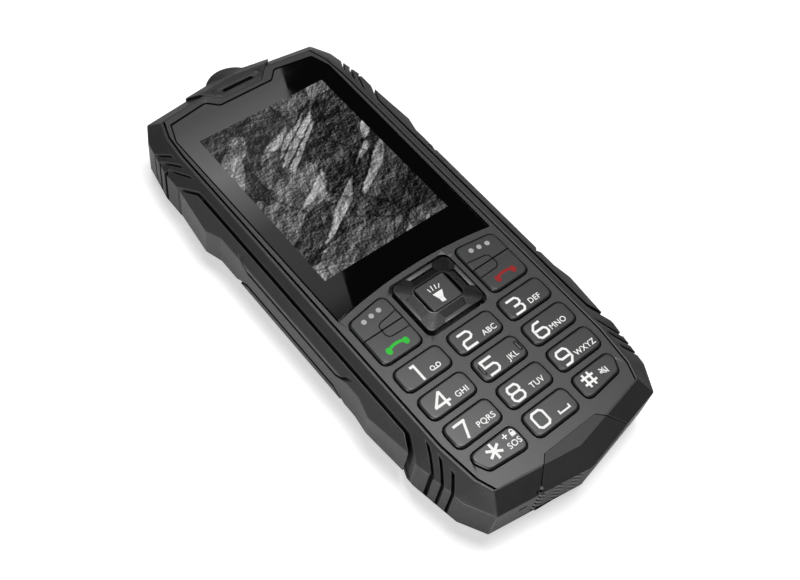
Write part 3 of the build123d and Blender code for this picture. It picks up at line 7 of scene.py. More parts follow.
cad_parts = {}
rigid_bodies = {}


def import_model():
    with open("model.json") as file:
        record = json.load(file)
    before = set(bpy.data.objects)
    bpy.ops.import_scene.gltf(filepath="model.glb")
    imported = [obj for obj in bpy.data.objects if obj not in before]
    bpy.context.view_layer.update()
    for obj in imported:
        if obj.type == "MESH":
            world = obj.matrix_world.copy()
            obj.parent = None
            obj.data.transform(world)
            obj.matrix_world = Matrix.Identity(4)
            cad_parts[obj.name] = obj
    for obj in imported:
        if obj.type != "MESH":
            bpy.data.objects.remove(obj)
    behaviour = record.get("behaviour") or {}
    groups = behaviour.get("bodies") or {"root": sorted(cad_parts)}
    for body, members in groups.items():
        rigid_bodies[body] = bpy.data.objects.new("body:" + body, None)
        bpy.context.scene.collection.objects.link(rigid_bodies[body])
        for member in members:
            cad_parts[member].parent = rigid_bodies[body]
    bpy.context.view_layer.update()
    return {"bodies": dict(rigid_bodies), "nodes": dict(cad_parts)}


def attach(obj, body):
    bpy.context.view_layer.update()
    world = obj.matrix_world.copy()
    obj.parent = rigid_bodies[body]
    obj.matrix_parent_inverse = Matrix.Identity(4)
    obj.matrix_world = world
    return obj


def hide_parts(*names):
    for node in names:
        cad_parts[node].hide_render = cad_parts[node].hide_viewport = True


# A rugged bar phone lying on its back. Millimetres are written out and turned to metres once,
# in each helper. Every piece rides on the body of the key, flap or case that it belongs to.

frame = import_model()

MM = 0.001
KEY_TOP = 16.6
CENTRE_TOP = 17.0
CENTRE_DROP = 0.65
GLASS_TOP = 15.8
IMAGE_WIDTH = 36.72
IMAGE_LENGTH = 48.96
IMAGE_DEPTH = 0.016
IMAGE_Y = 24.62
NAV_Y = -17.35
NAV_WIDTH = 16.5
NAV_LENGTH = 14.1
NAV_FOOT = 13.3
FLAP_WALL_TOP = 13.4
INK = 0.03
PEN = 0.6
LETTER_SIZE = 1.95
MOULD_GRAIN = 0.32
LIGHT_AIM = Vector((0, 0, 8))


# ---------------------------------------------------------------- helpers

def linear(code):
    """A colour written as sRGB hex, as a shader wants it."""
    channels = [int(code[i:i + 2], 16) / 255 for i in (1, 3, 5)]
    return [c / 12.92 if c <= 0.04045 else ((c + 0.055) / 1.055) ** 2.4 for c in channels] + [1.0]


def add(tree, kind, inputs=None, **settings):
    """A node with its settings, and its sockets set or linked by name or number."""
    node = tree.nodes.new("ShaderNode" + kind)
    for name, value in settings.items():
        setattr(node, name, value)
    for key, value in (inputs or {}).items():
        if isinstance(value, bpy.types.NodeSocket):
            tree.links.new(value, node.inputs[key])
        else:
            node.inputs[key].default_value = value
    return node


def per_mm(size):
    """The scale at which a texture's features measure size millimetres."""
    return 1 / (size * MM)


def new_material(name):
    material = bpy.data.materials.new(name)
    material.use_nodes = True
    tree = material.node_tree
    tree.nodes.clear()
    return material, tree


def ramp(tree, factor, stops):
    """A colour ramp from a list of (position, sRGB hex)."""
    node = add(tree, "ValToRGB", {"Fac": factor})
    elements = node.color_ramp.elements
    while len(elements) < len(stops):
        elements.new(0.5)
    for element, (position, code) in zip(elements, stops):
        element.position = position
        element.color = linear(code)
    return node.outputs["Color"]


def placed(name, data):
    """A new object of the scene that shows a mesh, curve, lamp or lens."""
    piece = bpy.data.objects.new(name, data)
    bpy.context.scene.collection.objects.link(piece)
    return piece


def activate(piece):
    bpy.ops.object.select_all(action="DESELECT")
    piece.select_set(True)
    bpy.context.view_layer.objects.active = piece


def modified(piece, kind, **settings):
    """A modifier with its settings, applied at once."""
    activate(piece)
    bpy.ops.object.modifier_add(type=kind)
    modifier = piece.modifiers[-1]
    for name, value in settings.items():
        setattr(modifier, name, value)
    bpy.ops.object.modifier_apply(modifier=modifier.name)


def settle(piece, body):
    """A finished piece's place goes into its mesh, and it rides on its body."""
    activate(piece)
    bpy.ops.object.transform_apply(location=True, rotation=True, scale=True)
    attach(piece, body)
    return piece


def joined(name, pieces):
    bpy.ops.object.select_all(action="DESELECT")
    for piece in pieces:
        piece.select_set(True)
    bpy.context.view_layer.objects.active = pieces[0]
    if len(pieces) > 1:
        bpy.ops.object.join()
    whole = bpy.context.view_layer.objects.active
    whole.name = name
    whole.data.name = name
    return whole


# ---------------------------------------------------------------- materials

def moulded(name, colour, worn, roughness, depth=0.02, mottle=0.10, specular=0.5):
    """Spark-eroded nylon or ABS: a dull surface whose fine grain breaks up every highlight, with
    paler wear in clouds about 9 mm across. Real grain is 0.1 mm; it is drawn about three times as
    coarse, so that it shows. Crevices are painted darker, as painted shade."""
    material, tree = new_material(name)
    place = add(tree, "TexCoord").outputs["Object"]
    cloud = add(tree, "TexNoise", {"Vector": place, "Scale": per_mm(9), "Detail": 4.0, "Roughness": 0.6})
    grit = add(
        tree, "TexNoise",
        {"Vector": place, "Scale": per_mm(MOULD_GRAIN), "Detail": 2.0, "Roughness": 0.55})
    pits = add(
        tree, "TexVoronoi", {"Vector": place, "Scale": per_mm(MOULD_GRAIN * 1.7)}, feature="SMOOTH_F1")
    tone = add(tree, "Math", {0: cloud.outputs["Fac"], 1: 0.62}, operation="MULTIPLY")
    tone = add(
        tree, "Math", {0: grit.outputs["Fac"], 1: 0.38, 2: tone.outputs[0]}, operation="MULTIPLY_ADD")
    shade = add(
        tree, "Mix", {"Factor": tone.outputs[0], "A": linear(colour), "B": linear(worn)},
        data_type="RGBA")
    # Painted shade: the colour is darkened in crevices and hollows, where shade falls.
    painted_crevice_shade = add(tree, "AmbientOcclusion", {"Distance": 1.3 * MM}, samples=6)
    painted_crevice_shade_tone = add(
        tree, "MapRange",
        {"Value": painted_crevice_shade.outputs["AO"], "From Min": 0.38, "From Max": 0.88, "To Min": 0.08, "To Max": 1.0})
    shade = add(
        tree, "VectorMath", {0: shade.outputs["Result"], "Scale": painted_crevice_shade_tone.outputs["Result"]},
        operation="SCALE")
    spread = add(
        tree, "MapRange",
        {"Value": grit.outputs["Fac"], "From Min": 0.3, "From Max": 0.7, "To Min": roughness - mottle,
         "To Max": roughness + mottle})
    height = add(tree, "Math", {0: pits.outputs["Distance"], 1: grit.outputs["Fac"]}, operation="ADD")
    bump = add(
        tree, "Bump", {"Height": height.outputs[0], "Strength": 0.55, "Distance": depth * MM})
    shader = add(
        tree, "BsdfPrincipled",
        {"Base Color": shade.outputs["Vector"], "Roughness": spread.outputs["Result"], "IOR": 1.5,
         "Specular IOR Level": specular, "Normal": bump.outputs["Normal"]})
    add(tree, "OutputMaterial", {"Surface": shader.outputs["BSDF"]})
    return material


def plain_metal(name, colour, roughness, grain=0.6):
    """Plated or tinned steel: soft grey reflections, faintly cloudy where it was handled."""
    material, tree = new_material(name)
    place = add(tree, "TexCoord").outputs["Object"]
    cloud = add(tree, "TexNoise", {"Vector": place, "Scale": per_mm(grain), "Detail": 3.0})
    spread = add(
        tree, "MapRange",
        {"Value": cloud.outputs["Fac"], "To Min": roughness - 0.1, "To Max": roughness + 0.12})
    bump = add(tree, "Bump", {"Height": cloud.outputs["Fac"], "Strength": 0.2, "Distance": 0.01 * MM})
    shader = add(
        tree, "BsdfPrincipled",
        {"Base Color": linear(colour), "Metallic": 1.0, "Roughness": spread.outputs["Result"],
         "Normal": bump.outputs["Normal"]})
    add(tree, "OutputMaterial", {"Surface": shader.outputs["BSDF"]})
    return material


def printed(name, colour):
    """Screen-printed ink: an even, slightly chalky colour a little rougher than the key."""
    material, tree = new_material(name)
    place = add(tree, "TexCoord").outputs["Object"]
    specks = add(tree, "TexNoise", {"Vector": place, "Scale": per_mm(0.5), "Detail": 3.0})
    tone = add(tree, "MapRange", {"Value": specks.outputs["Fac"], "To Min": 0.9, "To Max": 1.04})
    shade = add(
        tree, "VectorMath", {0: linear(colour)[:3], "Scale": tone.outputs["Result"]}, operation="SCALE")
    bump = add(tree, "Bump", {"Height": specks.outputs["Fac"], "Strength": 0.25, "Distance": 0.01 * MM})
    shader = add(
        tree, "BsdfPrincipled",
        {"Base Color": shade.outputs["Vector"], "Roughness": 0.5, "Specular IOR Level": 0.25,
         "Normal": bump.outputs["Normal"]})
    add(tree, "OutputMaterial", {"Surface": shader.outputs["BSDF"]})
    return material


def cover_glass():
    """Black-backed cover glass: a mirror for the lights, with the faintest film of finger grease."""
    material, tree = new_material("cover_glass")
    place = add(tree, "TexCoord").outputs["Object"]
    film = add(
        tree, "TexNoise", {"Vector": place, "Scale": per_mm(14), "Detail": 5.0, "Distortion": 1.2})
    spread = add(
        tree, "MapRange",
        {"Value": film.outputs["Fac"], "From Min": 0.45, "From Max": 0.75, "To Min": 0.02,
         "To Max": 0.075})
    shader = add(
        tree, "BsdfPrincipled",
        {"Base Color": linear("#020202"), "Roughness": spread.outputs["Result"], "IOR": 1.52})
    add(tree, "OutputMaterial", {"Surface": shader.outputs["BSDF"]})
    return material


def stone_picture():
    """The lit display shows split grey rock: rough dark slabs, paler broken faces and a few long
    splinters that catch the light, darker towards the right and the keys. The skin is embossed by
    comparing a noise with itself a little further on, which lights it from one side."""
    slab, splinter, skin = per_mm(10), per_mm(3.0), per_mm(6)
    bend = 1.7 * MM
    light_step = (-0.16 * MM, 0.26 * MM, 0)
    material, tree = new_material("lit_stone_picture")
    place = add(tree, "TexCoord").outputs["Object"]
    sway = add(tree, "TexNoise", {"Vector": place, "Scale": skin, "Detail": 7.0, "Roughness": 0.66})
    push = add(tree, "VectorMath", {0: sway.outputs["Color"], 1: (0.5, 0.5, 0.5)}, operation="SUBTRACT")
    push = add(tree, "VectorMath", {0: push.outputs[0], "Scale": bend}, operation="SCALE")
    bent = add(tree, "VectorMath", {0: place, 1: push.outputs[0]}, operation="ADD").outputs[0]
    leaning = add(
        tree, "Mapping",
        {"Vector": bent, "Location": (4.3 * MM, 2.1 * MM, 0), "Rotation": (0, 0, math.radians(-56)),
         "Scale": (1.0, 1.7, 1.0)}, vector_type="TEXTURE").outputs[0]
    slivers = add(
        tree, "Mapping",
        {"Vector": bent, "Location": (1.2 * MM, 10.5 * MM, 0), "Rotation": (0, 0, math.radians(-57)),
         "Scale": (1.0, 5.5, 1.0)}, vector_type="TEXTURE").outputs[0]
    slabs = add(tree, "TexVoronoi", {"Vector": leaning, "Scale": slab}, distance="MANHATTAN")
    clefts = add(tree, "TexVoronoi", {"Vector": leaning, "Scale": slab}, feature="DISTANCE_TO_EDGE")
    splinters = add(tree, "TexVoronoi", {"Vector": slivers, "Scale": splinter})
    rims = add(tree, "TexVoronoi", {"Vector": slivers, "Scale": splinter}, feature="DISTANCE_TO_EDGE")
    skins = []
    for shift in ((0, 0, 0), light_step):
        spot = add(tree, "VectorMath", {0: bent, 1: shift}, operation="ADD").outputs[0]
        coarse = add(
            tree, "TexNoise", {"Vector": spot, "Scale": skin, "Detail": 10.0, "Roughness": 0.64})
        skins.append(coarse.outputs["Fac"])
    relief = add(tree, "Math", {0: skins[0], 1: skins[1]}, operation="SUBTRACT").outputs[0]
    slab_tone = add(tree, "SeparateColor", {"Color": slabs.outputs["Color"]}).outputs["Red"]
    pale = add(
        tree, "MapRange",
        {"Value": slab_tone, "From Min": 0.25, "From Max": 0.9, "To Min": -0.08, "To Max": 0.36})
    sliver_tone = add(tree, "SeparateColor", {"Color": splinters.outputs["Color"]}).outputs["Green"]
    chosen = add(
        tree, "MapRange", {"Value": sliver_tone, "From Min": 0.8, "From Max": 0.83, "To Max": 0.5})
    body = add(tree, "MapRange", {"Value": rims.outputs["Distance"], "From Min": 0.02, "From Max": 0.1})
    sliver = add(
        tree, "Math", {0: chosen.outputs["Result"], 1: body.outputs["Result"]}, operation="MULTIPLY")
    tone = add(tree, "Math", {0: pale.outputs["Result"], 1: sliver.outputs[0]}, operation="MAXIMUM")
    tone = add(tree, "Math", {0: relief, 1: 5.0, 2: tone.outputs[0]}, operation="MULTIPLY_ADD")
    tone = add(tree, "Math", {0: skins[0], 1: 0.5, 2: tone.outputs[0]}, operation="MULTIPLY_ADD")
    grey = ramp(
        tree, tone.outputs[0],
        [(0.08, "#0a0a0a"), (0.28, "#2c2c2c"), (0.5, "#5c5c5c"), (0.72, "#909090"), (1.0, "#c8c8c8")])
    cleft = add(
        tree, "MapRange",
        {"Value": clefts.outputs["Distance"], "From Max": 0.03, "To Min": 0.3, "To Max": 1.0})
    rim = add(
        tree, "MapRange",
        {"Value": rims.outputs["Distance"], "From Max": 0.02, "To Min": 0.7, "To Max": 1.0})
    dark = add(tree, "Math", {0: cleft.outputs[0], 1: rim.outputs[0]}, operation="MULTIPLY")
    axes = add(tree, "SeparateXYZ", {"Vector": place})
    fall = add(tree, "Math", {0: axes.outputs["X"], 1: axes.outputs["Y"]}, operation="SUBTRACT")
    fade = add(
        tree, "MapRange",
        {"Value": fall.outputs[0], "From Min": -22 * MM, "From Max": 8 * MM, "To Min": 1.1,
         "To Max": 0.62})
    dark = add(tree, "Math", {0: dark.outputs[0], 1: fade.outputs[0]}, operation="MULTIPLY")
    picture = add(tree, "VectorMath", {0: grey, "Scale": dark.outputs[0]}, operation="SCALE")
    shader = add(
        tree, "BsdfPrincipled",
        {"Base Color": linear("#000000"), "Roughness": 0.12, "Specular IOR Level": 0.06,
         "Emission Color": picture.outputs["Vector"], "Emission Strength": 1.0})
    add(tree, "OutputMaterial", {"Surface": shader.outputs["BSDF"]})
    return material


def herringbone_rubber():
    """Soft-touch rubber moulded with a herringbone, so that a fingernail finds the flap. The real
    rows are about 1 mm apart; they are drawn coarser, so that they show. The furrows are painted
    near-black as painted shade, and the ridge tops pale grey as a painted highlight."""
    column_width, row_spacing, ridge_height = 2.3 * MM, per_mm(1.75), 0.25 * MM
    material, tree = new_material("herringbone_rubber")
    place = add(tree, "TexCoord").outputs["Object"]
    axes = add(tree, "SeparateXYZ", {"Vector": place})
    column = add(tree, "Math", {0: axes.outputs["X"], 1: column_width}, operation="PINGPONG")
    slope = add(tree, "Math", {0: axes.outputs["Z"], 1: column.outputs[0]}, operation="ADD")
    rows = add(tree, "Math", {0: slope.outputs[0], 1: row_spacing}, operation="MULTIPLY")
    wave = add(tree, "Math", {0: rows.outputs[0], 1: 0.5}, operation="PINGPONG")
    ridge = add(
        tree, "MapRange", {"Value": wave.outputs[0], "From Min": 0.2, "From Max": 0.3},
        interpolation_type="SMOOTHSTEP")
    grit = add(tree, "TexNoise", {"Vector": place, "Scale": per_mm(0.3), "Detail": 2.0})
    height = add(
        tree, "Math", {0: grit.outputs["Fac"], 1: 0.1, 2: ridge.outputs["Result"]},
        operation="MULTIPLY_ADD")
    # Painted shade in the furrows (near-black) and a painted highlight on the ridge tops (pale grey).
    shade = add(
        tree, "Mix",
        {"Factor": ridge.outputs["Result"], "A": linear("#020202"), "B": linear("#727273")},
        data_type="RGBA")
    bump = add(tree, "Bump", {"Height": height.outputs[0], "Strength": 1.0, "Distance": ridge_height})
    shader = add(
        tree, "BsdfPrincipled",
        {"Base Color": shade.outputs["Result"], "Roughness": 0.62, "Specular IOR Level": 0.12,
         "Normal": bump.outputs["Normal"]})
    add(tree, "OutputMaterial", {"Surface": shader.outputs["BSDF"]})
    return material


def woven_mesh():
    """Fine woven steel gauze over a sound opening: 0.3 mm wires with black between."""
    material, tree = new_material("woven_mesh")
    place = add(tree, "TexCoord").outputs["Object"]
    axes = add(tree, "SeparateXYZ", {"Vector": place})
    wires = []
    for axis in ("X", "Y"):
        count = add(tree, "Math", {0: axes.outputs[axis], 1: per_mm(0.6)}, operation="MULTIPLY")
        wires.append(add(tree, "Math", {0: count.outputs[0], 1: 0.5}, operation="PINGPONG"))
    both = add(tree, "Math", {0: wires[0].outputs[0], 1: wires[1].outputs[0]}, operation="MINIMUM")
    gap = add(tree, "MapRange", {"Value": both.outputs[0], "From Min": 0.18, "From Max": 0.26})
    shade = add(
        tree, "Mix", {"Factor": gap.outputs["Result"], "A": linear("#2c2c2d"), "B": linear("#050505")},
        data_type="RGBA")
    shader = add(
        tree, "BsdfPrincipled",
        {"Base Color": shade.outputs["Result"], "Roughness": 0.5, "Metallic": 0.4})
    add(tree, "OutputMaterial", {"Surface": shader.outputs["BSDF"]})
    return material


def clear_plastic():
    """Polished polycarbonate lens: clear, with a soft moulded waviness."""
    material, tree = new_material("clear_polycarbonate")
    place = add(tree, "TexCoord").outputs["Object"]
    wave = add(tree, "TexNoise", {"Vector": place, "Scale": per_mm(2.5), "Detail": 1.0})
    bump = add(tree, "Bump", {"Height": wave.outputs["Fac"], "Strength": 0.2, "Distance": 0.02 * MM})
    shader = add(
        tree, "BsdfPrincipled",
        {"Base Color": linear("#eef0f2"), "Roughness": 0.06, "IOR": 1.58, "Transmission Weight": 0.92,
         "Normal": bump.outputs["Normal"]})
    add(tree, "OutputMaterial", {"Surface": shader.outputs["BSDF"]})
    return material


def circuit_board():
    """Glass-epoxy board under solder mask: deep green, with copper tracks showing paler."""
    material, tree = new_material("solder_mask_board")
    place = add(tree, "TexCoord").outputs["Object"]
    tracks = add(
        tree, "TexBrick",
        {"Vector": place, "Color1": linear("#1d5a33"), "Color2": linear("#236a3d"),
         "Mortar": linear("#14452a"), "Scale": per_mm(12), "Mortar Size": 0.02})
    shader = add(
        tree, "BsdfPrincipled",
        {"Base Color": tracks.outputs["Color"], "Roughness": 0.35, "Coat Weight": 0.4})
    add(tree, "OutputMaterial", {"Surface": shader.outputs["BSDF"]})
    return material


ARMOUR = moulded("armour_nylon", "#1b1b1c", "#252526", roughness=0.5)
# The edge colours of armour, rail, panel and flap are paler than their surfaces: partly wear, partly a
# painted highlight on the rounded edges.
ARMOUR_EDGE = moulded("armour_nylon_worn_edge_painted_highlight", "#2d2d2e", "#3f3f40", roughness=0.42, depth=0.008)
RAIL = moulded("rail_nylon", "#2a2a2b", "#353536", roughness=0.42)
# Paler edge: partly wear, partly a painted highlight.
RAIL_EDGE = moulded("rail_nylon_worn_edge_painted_highlight", "#333334", "#414142", roughness=0.4, depth=0.008)
PANEL = moulded("panel_abs", "#2b2b2c", "#323233", roughness=0.4, depth=0.012, mottle=0.07)
# Paler edge: partly wear, partly a painted highlight.
PANEL_EDGE = moulded("panel_abs_edge", "#3c3c3d", "#474748", roughness=0.42, depth=0.006)
KEY = moulded("key_silicone_coated", "#292a2b", "#313132", roughness=0.35, depth=0.01, mottle=0.07)
# Darker than the key top: partly the black of uncoated silicone sides, partly painted shade on the key's
# sides and rounded edges.
KEY_EDGE = moulded("key_rounded_edge", "#161617", "#1d1d1e", roughness=0.36, depth=0.004)
NAV = moulded("nav_satin_plastic", "#0a0a0b", "#0f0f10", roughness=0.34, depth=0.005, specular=0.26)
# Paler than the ring: a painted highlight along the ring's edge bands.
NAV_EDGE = moulded("nav_satin_edge", "#161617", "#1f1f20", roughness=0.3, depth=0.003)
RUBBER = moulded("flap_rubber", "#1c1c1d", "#262627", roughness=0.56)
# Paler edge: partly wear, partly a painted highlight.
RUBBER_EDGE = moulded("flap_rubber_edge", "#29292a", "#353536", roughness=0.5, depth=0.008)
# Much paler than the ring: painted light on the lips' flat tops.
NAV_LIP = moulded("nav_lip_plastic", "#3a3a3b", "#444445", roughness=0.38, depth=0.006)
BLACK = moulded("inner_black_plastic", "#1a1a1b", "#222223", roughness=0.55)
WHITE = moulded("diffuser_white_plastic", "#dcdcd8", "#e6e6e2", roughness=0.4, depth=0.005)
SILICONE = moulded("translucent_silicone", "#c2c2be", "#cfcfcb", roughness=0.45, depth=0.005)
FILM = moulded("battery_film", "#2c3034", "#363a3e", roughness=0.3, depth=0.004)
COPPER = plain_metal("etched_copper", "#c07f4a", 0.35)
STEEL = plain_metal("tinned_steel", "#b4b6b8", 0.34)
SCREW_STEEL = plain_metal("blackened_screw_steel", "#3a3a3c", 0.42, 0.3)
GLASS = cover_glass()
PICTURE = stone_picture()
HERRINGBONE = herringbone_rubber()
MESH = woven_mesh()
CLEAR = clear_plastic()
BOARD = circuit_board()
WHITE_INK = printed("white_ink", "#ececea")
GREEN_INK = printed("green_ink", "#1fb62a")
RED_INK = printed("red_ink", "#8e0a0a")
GREY_INK = printed("grey_ink", "#a8a8a6")
SHADOW_LINE = moulded("groove_shadow", "#070707", "#0c0c0c", roughness=0.8, depth=0.004, specular=0.1)

# Pieces inside the case, and small ones, keep their CAD shape and get a surface.
INNER = {
    "earpiece_mesh": MESH, "speaker_mesh": MESH, "earpiece_speaker": BLACK, "torch_led": WHITE,
    "glass_adhesive": BLACK, "lcd_panel": BLACK, "backlight_frame": WHITE, "keypad_web": SILICONE,
    "dome_sheet": STEEL, "main_board": BOARD, "shield_cans": STEEL, "sim_sockets": STEEL,
    "usb_socket": STEEL, "microphone": STEEL, "vibration_motor": STEEL, "antenna": COPPER,
    "battery_contacts": BLACK, "battery": FILM, "cover_gasket": SILICONE, "frame_screws": SCREW_STEEL,
    "loudspeaker": BLACK, "camera_module": BLACK, "flap_pin": SCREW_STEEL, "nav_pad": SILICONE,
    "torch_lens": CLEAR, "camera_window": GLASS,
}
for node, material in INNER.items():
    frame["nodes"][node].data.materials.clear()
    frame["nodes"][node].data.materials.append(material)


# ---------------------------------------------------------------- dressed mouldings

def dressed(
        name, node, body, slot, surface, edge, rounding, crease=24, segments=2, cut=True, fit=False,
        clamp=False):
    """A CAD node with its edges broken as a mould leaves them, and those edges a shade paler: partly
    wear, partly a painted highlight.

    rounding is in millimetres and crease in degrees: the least turn that is rounded. cut makes
    triangles of the faces, fit moves its edges to the photograph's places, and clamp keeps the
    rounding inside narrow faces."""
    mesh = frame["nodes"][node].data.copy()
    mesh.name = name
    piece = placed(name, mesh)
    mesh.materials.clear()
    mesh.materials.append(surface)
    mesh.materials.append(edge)
    activate(piece)
    bpy.ops.mesh.customdata_custom_splitnormals_clear()
    bpy.ops.object.mode_set(mode="EDIT")
    bpy.ops.mesh.select_all(action="SELECT")
    bpy.ops.mesh.remove_doubles(threshold=0.002 * MM)
    bpy.ops.mesh.dissolve_limited(angle_limit=math.radians(0.6))
    bpy.ops.object.mode_set(mode="OBJECT")
    if fit:
        fitted(piece)
    if cut:
        bpy.ops.object.mode_set(mode="EDIT")
        bpy.ops.mesh.select_all(action="SELECT")
        bpy.ops.mesh.quads_convert_to_tris(ngon_method="BEAUTY")
        bpy.ops.object.mode_set(mode="OBJECT")
    for polygon in mesh.polygons:
        polygon.material_index = 0
    # The rounded edges take the edge colour. For most pieces it is paler: partly wear, partly a painted
    # highlight.
    modified(
        piece, "BEVEL", width=rounding * MM, segments=segments, limit_method="ANGLE",
        angle_limit=math.radians(crease), use_clamp_overlap=clamp, material=1)
    bpy.ops.object.shade_smooth_by_angle(angle=math.radians(50))
    modified(piece, "WEIGHTED_NORMAL", keep_sharp=True, weight=100)
    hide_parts(node)
    return settle(piece, body)


def between(value, places, levels):
    """A level read off a broken line."""
    if value <= places[0]:
        return levels[0]
    for (a, low), (b, high) in zip(zip(places, levels), zip(places[1:], levels[1:])):
        if value <= b:
            return low + (high - low) * (value - a) / (b - a)
    return levels[-1]


# How far the edges move, as broken lines: a row of places, and how much at each. The ridge's share
# goes by the place along the case and its millimetres by the distance from the middle. The others
# go by the distance from the middle, from a gap between two rows of keys, and from the lowest edge.
RIDGE_ALONG = ((-58, -38, 32), (0, 1, 0))
RIDGE_ACROSS = ((21, 22, 23, 24.2, 26.3), (0, 0.15, 0.72, 0.72, 0))
SOFT_KEY_SIDE = ((9.3, 10.2, 11.5, 14), (0, 0.3, 0.3, 0))
SOFT_KEY_ROW = (-26.2, -8)
ROW_GAPS = (-25.85, -33.87, -41.89, -49.91)
ROW_GAP_SIDE = ((0, 0.8, 2.2, 3.2), (0, 0.15, 0.15, 0))
LOWEST_EDGE_Y = -57.13
LOWEST_EDGE = ((0, 1.5, 3.2), (0.22, 0.22, 0))
# The half width and half length of the panel's window for the four-way key, and their growth.
NAV_WINDOW = (8.6, 7.3)
NAV_WINDOW_GROWTH = (0.35, 0.6)


def fitted(piece):
    """Edges moved by up to 0.7 mm to where the photograph shows them: the ridge and the panel's rim
    lie further out at the low end, and the key windows and the navigation window are wider."""
    for vertex in piece.data.vertices:
        x, y = vertex.co.x / MM, vertex.co.y / MM
        side = 1 if x > 0 else -1
        move = between(y, *RIDGE_ALONG) * between(abs(x), *RIDGE_ACROSS)
        if SOFT_KEY_ROW[0] < y < SOFT_KEY_ROW[1]:
            move -= between(abs(x), *SOFT_KEY_SIDE)
        rise = 0
        if piece.name != "armour_moulding":
            for gap in ROW_GAPS:
                rise -= math.copysign(between(abs(y - gap), *ROW_GAP_SIDE), y - gap)
            rise -= between(abs(y - LOWEST_EDGE_Y), *LOWEST_EDGE)
        in_window = abs(x) < NAV_WINDOW[0] + 0.15 and abs(y - NAV_Y) < NAV_WINDOW[1] + 0.2
        if piece.name == "panel_moulding" and in_window:
            move = abs(x) * NAV_WINDOW_GROWTH[0] / NAV_WINDOW[0]
            rise = (y - NAV_Y) * NAV_WINDOW_GROWTH[1] / NAV_WINDOW[1]
        vertex.co.x += side * move * MM
        vertex.co.y += rise * MM


def case_mouldings():
    case = "phone_body"
    armour = ("armour_plastic", ARMOUR, ARMOUR_EDGE)
    dressed("armour_moulding", "armour_frame", case, *armour, 0.2, crease=22, fit=True)
    for side in ("left", "right"):
        dressed(
            f"rail_moulding_{side}", f"side_rail_{side}", case, "rail_plastic", RAIL, RAIL_EDGE, 0.22,
            crease=14)
    dressed(
        "panel_moulding", "face_panel", case, "panel_plastic", PANEL, PANEL_EDGE, 0.07, fit=True,
        clamp=True)
    dressed("cap_moulding", "top_cap", case, *armour, 0.1)
    dressed("housing_moulding", "rear_housing", case, *armour, 0.15)
    dressed("cover_moulding", "battery_cover", case, *armour, 0.12)
    dressed("glass_pane", "display_glass", case, "window_glass", GLASS, GLASS, 0.12, cut=False, fit=True)
    dressed("screw_heads", "cover_screws", case, "dark_screw", SCREW_STEEL, SCREW_STEEL, 0.1)


def key_mouldings():
    side_keys = ("soft_key_left", "soft_key_right", "call_key", "end_key")
    for node in frame["bodies"]:
        if node.startswith("key_") or node in side_keys:
            dressed(
                node + "_moulding", node, node, "key_plastic", KEY, KEY_EDGE, 0.12, crease=30,
                segments=3, fit=True)


def rounded_loop(half_x, half_y, radius, z):
    """Points round a rectangle with rounded corners, the same number at any size."""
    steps = 7
    points = []
    for corner in range(4):
        sign_x = 1 if corner in (0, 3) else -1
        sign_y = 1 if corner < 2 else -1
        for step in range(steps + 1):
            turn = math.radians(90 * corner + 90 * step / steps)
            points.append(Vector((
                sign_x * (half_x - radius) + radius * math.cos(turn),
                sign_y * (half_y - radius) + radius * math.sin(turn), z)))
    return points


def lofted(name, loops, materials, kinds):
    """Closed skin over a round of loops, where the last loop joins the first."""
    mesh = bpy.data.meshes.new(name)
    piece = placed(name, mesh)
    skin = bmesh.new()
    rows = [[skin.verts.new(point * MM) for point in loop] for loop in loops]
    count = len(rows[0])
    for row, (lower, upper) in enumerate(zip(rows, rows[1:] + rows[:1])):
        for i in range(count):
            j = (i + 1) % count
            face = skin.faces.new((lower[i], lower[j], upper[j], upper[i]))
            face.material_index = kinds[row]
    bmesh.ops.recalc_face_normals(skin, faces=skin.faces)
    skin.to_mesh(mesh)
    skin.free()
    for material in materials:
        mesh.materials.append(material)
    return piece


def prism(name, outline, low, high, material, rounding=0.0):
    """An upright prism with an optional rounded rim."""
    mesh = bpy.data.meshes.new(name)
    piece = placed(name, mesh)
    skin = bmesh.new()
    foot = [skin.verts.new(Vector((x, y, low)) * MM) for x, y in outline]
    head = [skin.verts.new(Vector((x, y, high)) * MM) for x, y in outline]
    skin.faces.new(foot)
    skin.faces.new(head)
    for i in range(len(outline)):
        j = (i + 1) % len(outline)
        skin.faces.new((foot[i], foot[j], head[j], head[i]))
    bmesh.ops.recalc_face_normals(skin, faces=skin.faces)
    if rounding:
        rim = [edge for edge in skin.edges if edge.verts[0].co.z == edge.verts[1].co.z == head[0].co.z]
        bmesh.ops.bevel(
            skin, geom=rim, offset=rounding * MM, offset_type="OFFSET", segments=3, profile=0.5,
            affect="EDGES")
    skin.to_mesh(mesh)
    skin.free()
    mesh.materials.append(material)
    return piece


def trough_cutter(outer, long):
    """A block over one side of the ring. Its foot slopes down from the rim, and its ends spread
    towards the rim."""
    inner, out, split, top = outer - 2.95, outer - 1.1, outer - 2, 17.6
    cutter = prism("trough", [(inner, 0), (out, 0), (out, 1), (inner, 1)], 0, 1, NAV)
    for vertex in cutter.data.vertices:
        x, y, z = vertex.co / MM
        near = x < split
        reach = long - (0.5 if near else 1.0)
        foot = 16.88 if near else 16.4
        vertex.co = Vector((x, reach if y > 0.5 else -reach, top if z > 0.5 else foot)) * MM
    return cutter


def pressed_lip(outer, long):
    """The raised lip that a thumb presses, mitred where it meets the trough. It is painted paler than
    the ring: painted light on its flat top.
    """
    out, inner, mitre = outer - 0.08, outer - 1.1, long - 0.9
    outline = [(out, -long), (out, long), (inner, mitre), (inner, -mitre)]
    return prism("lip", outline, 16.1, 16.8, NAV_LIP, 0.1)


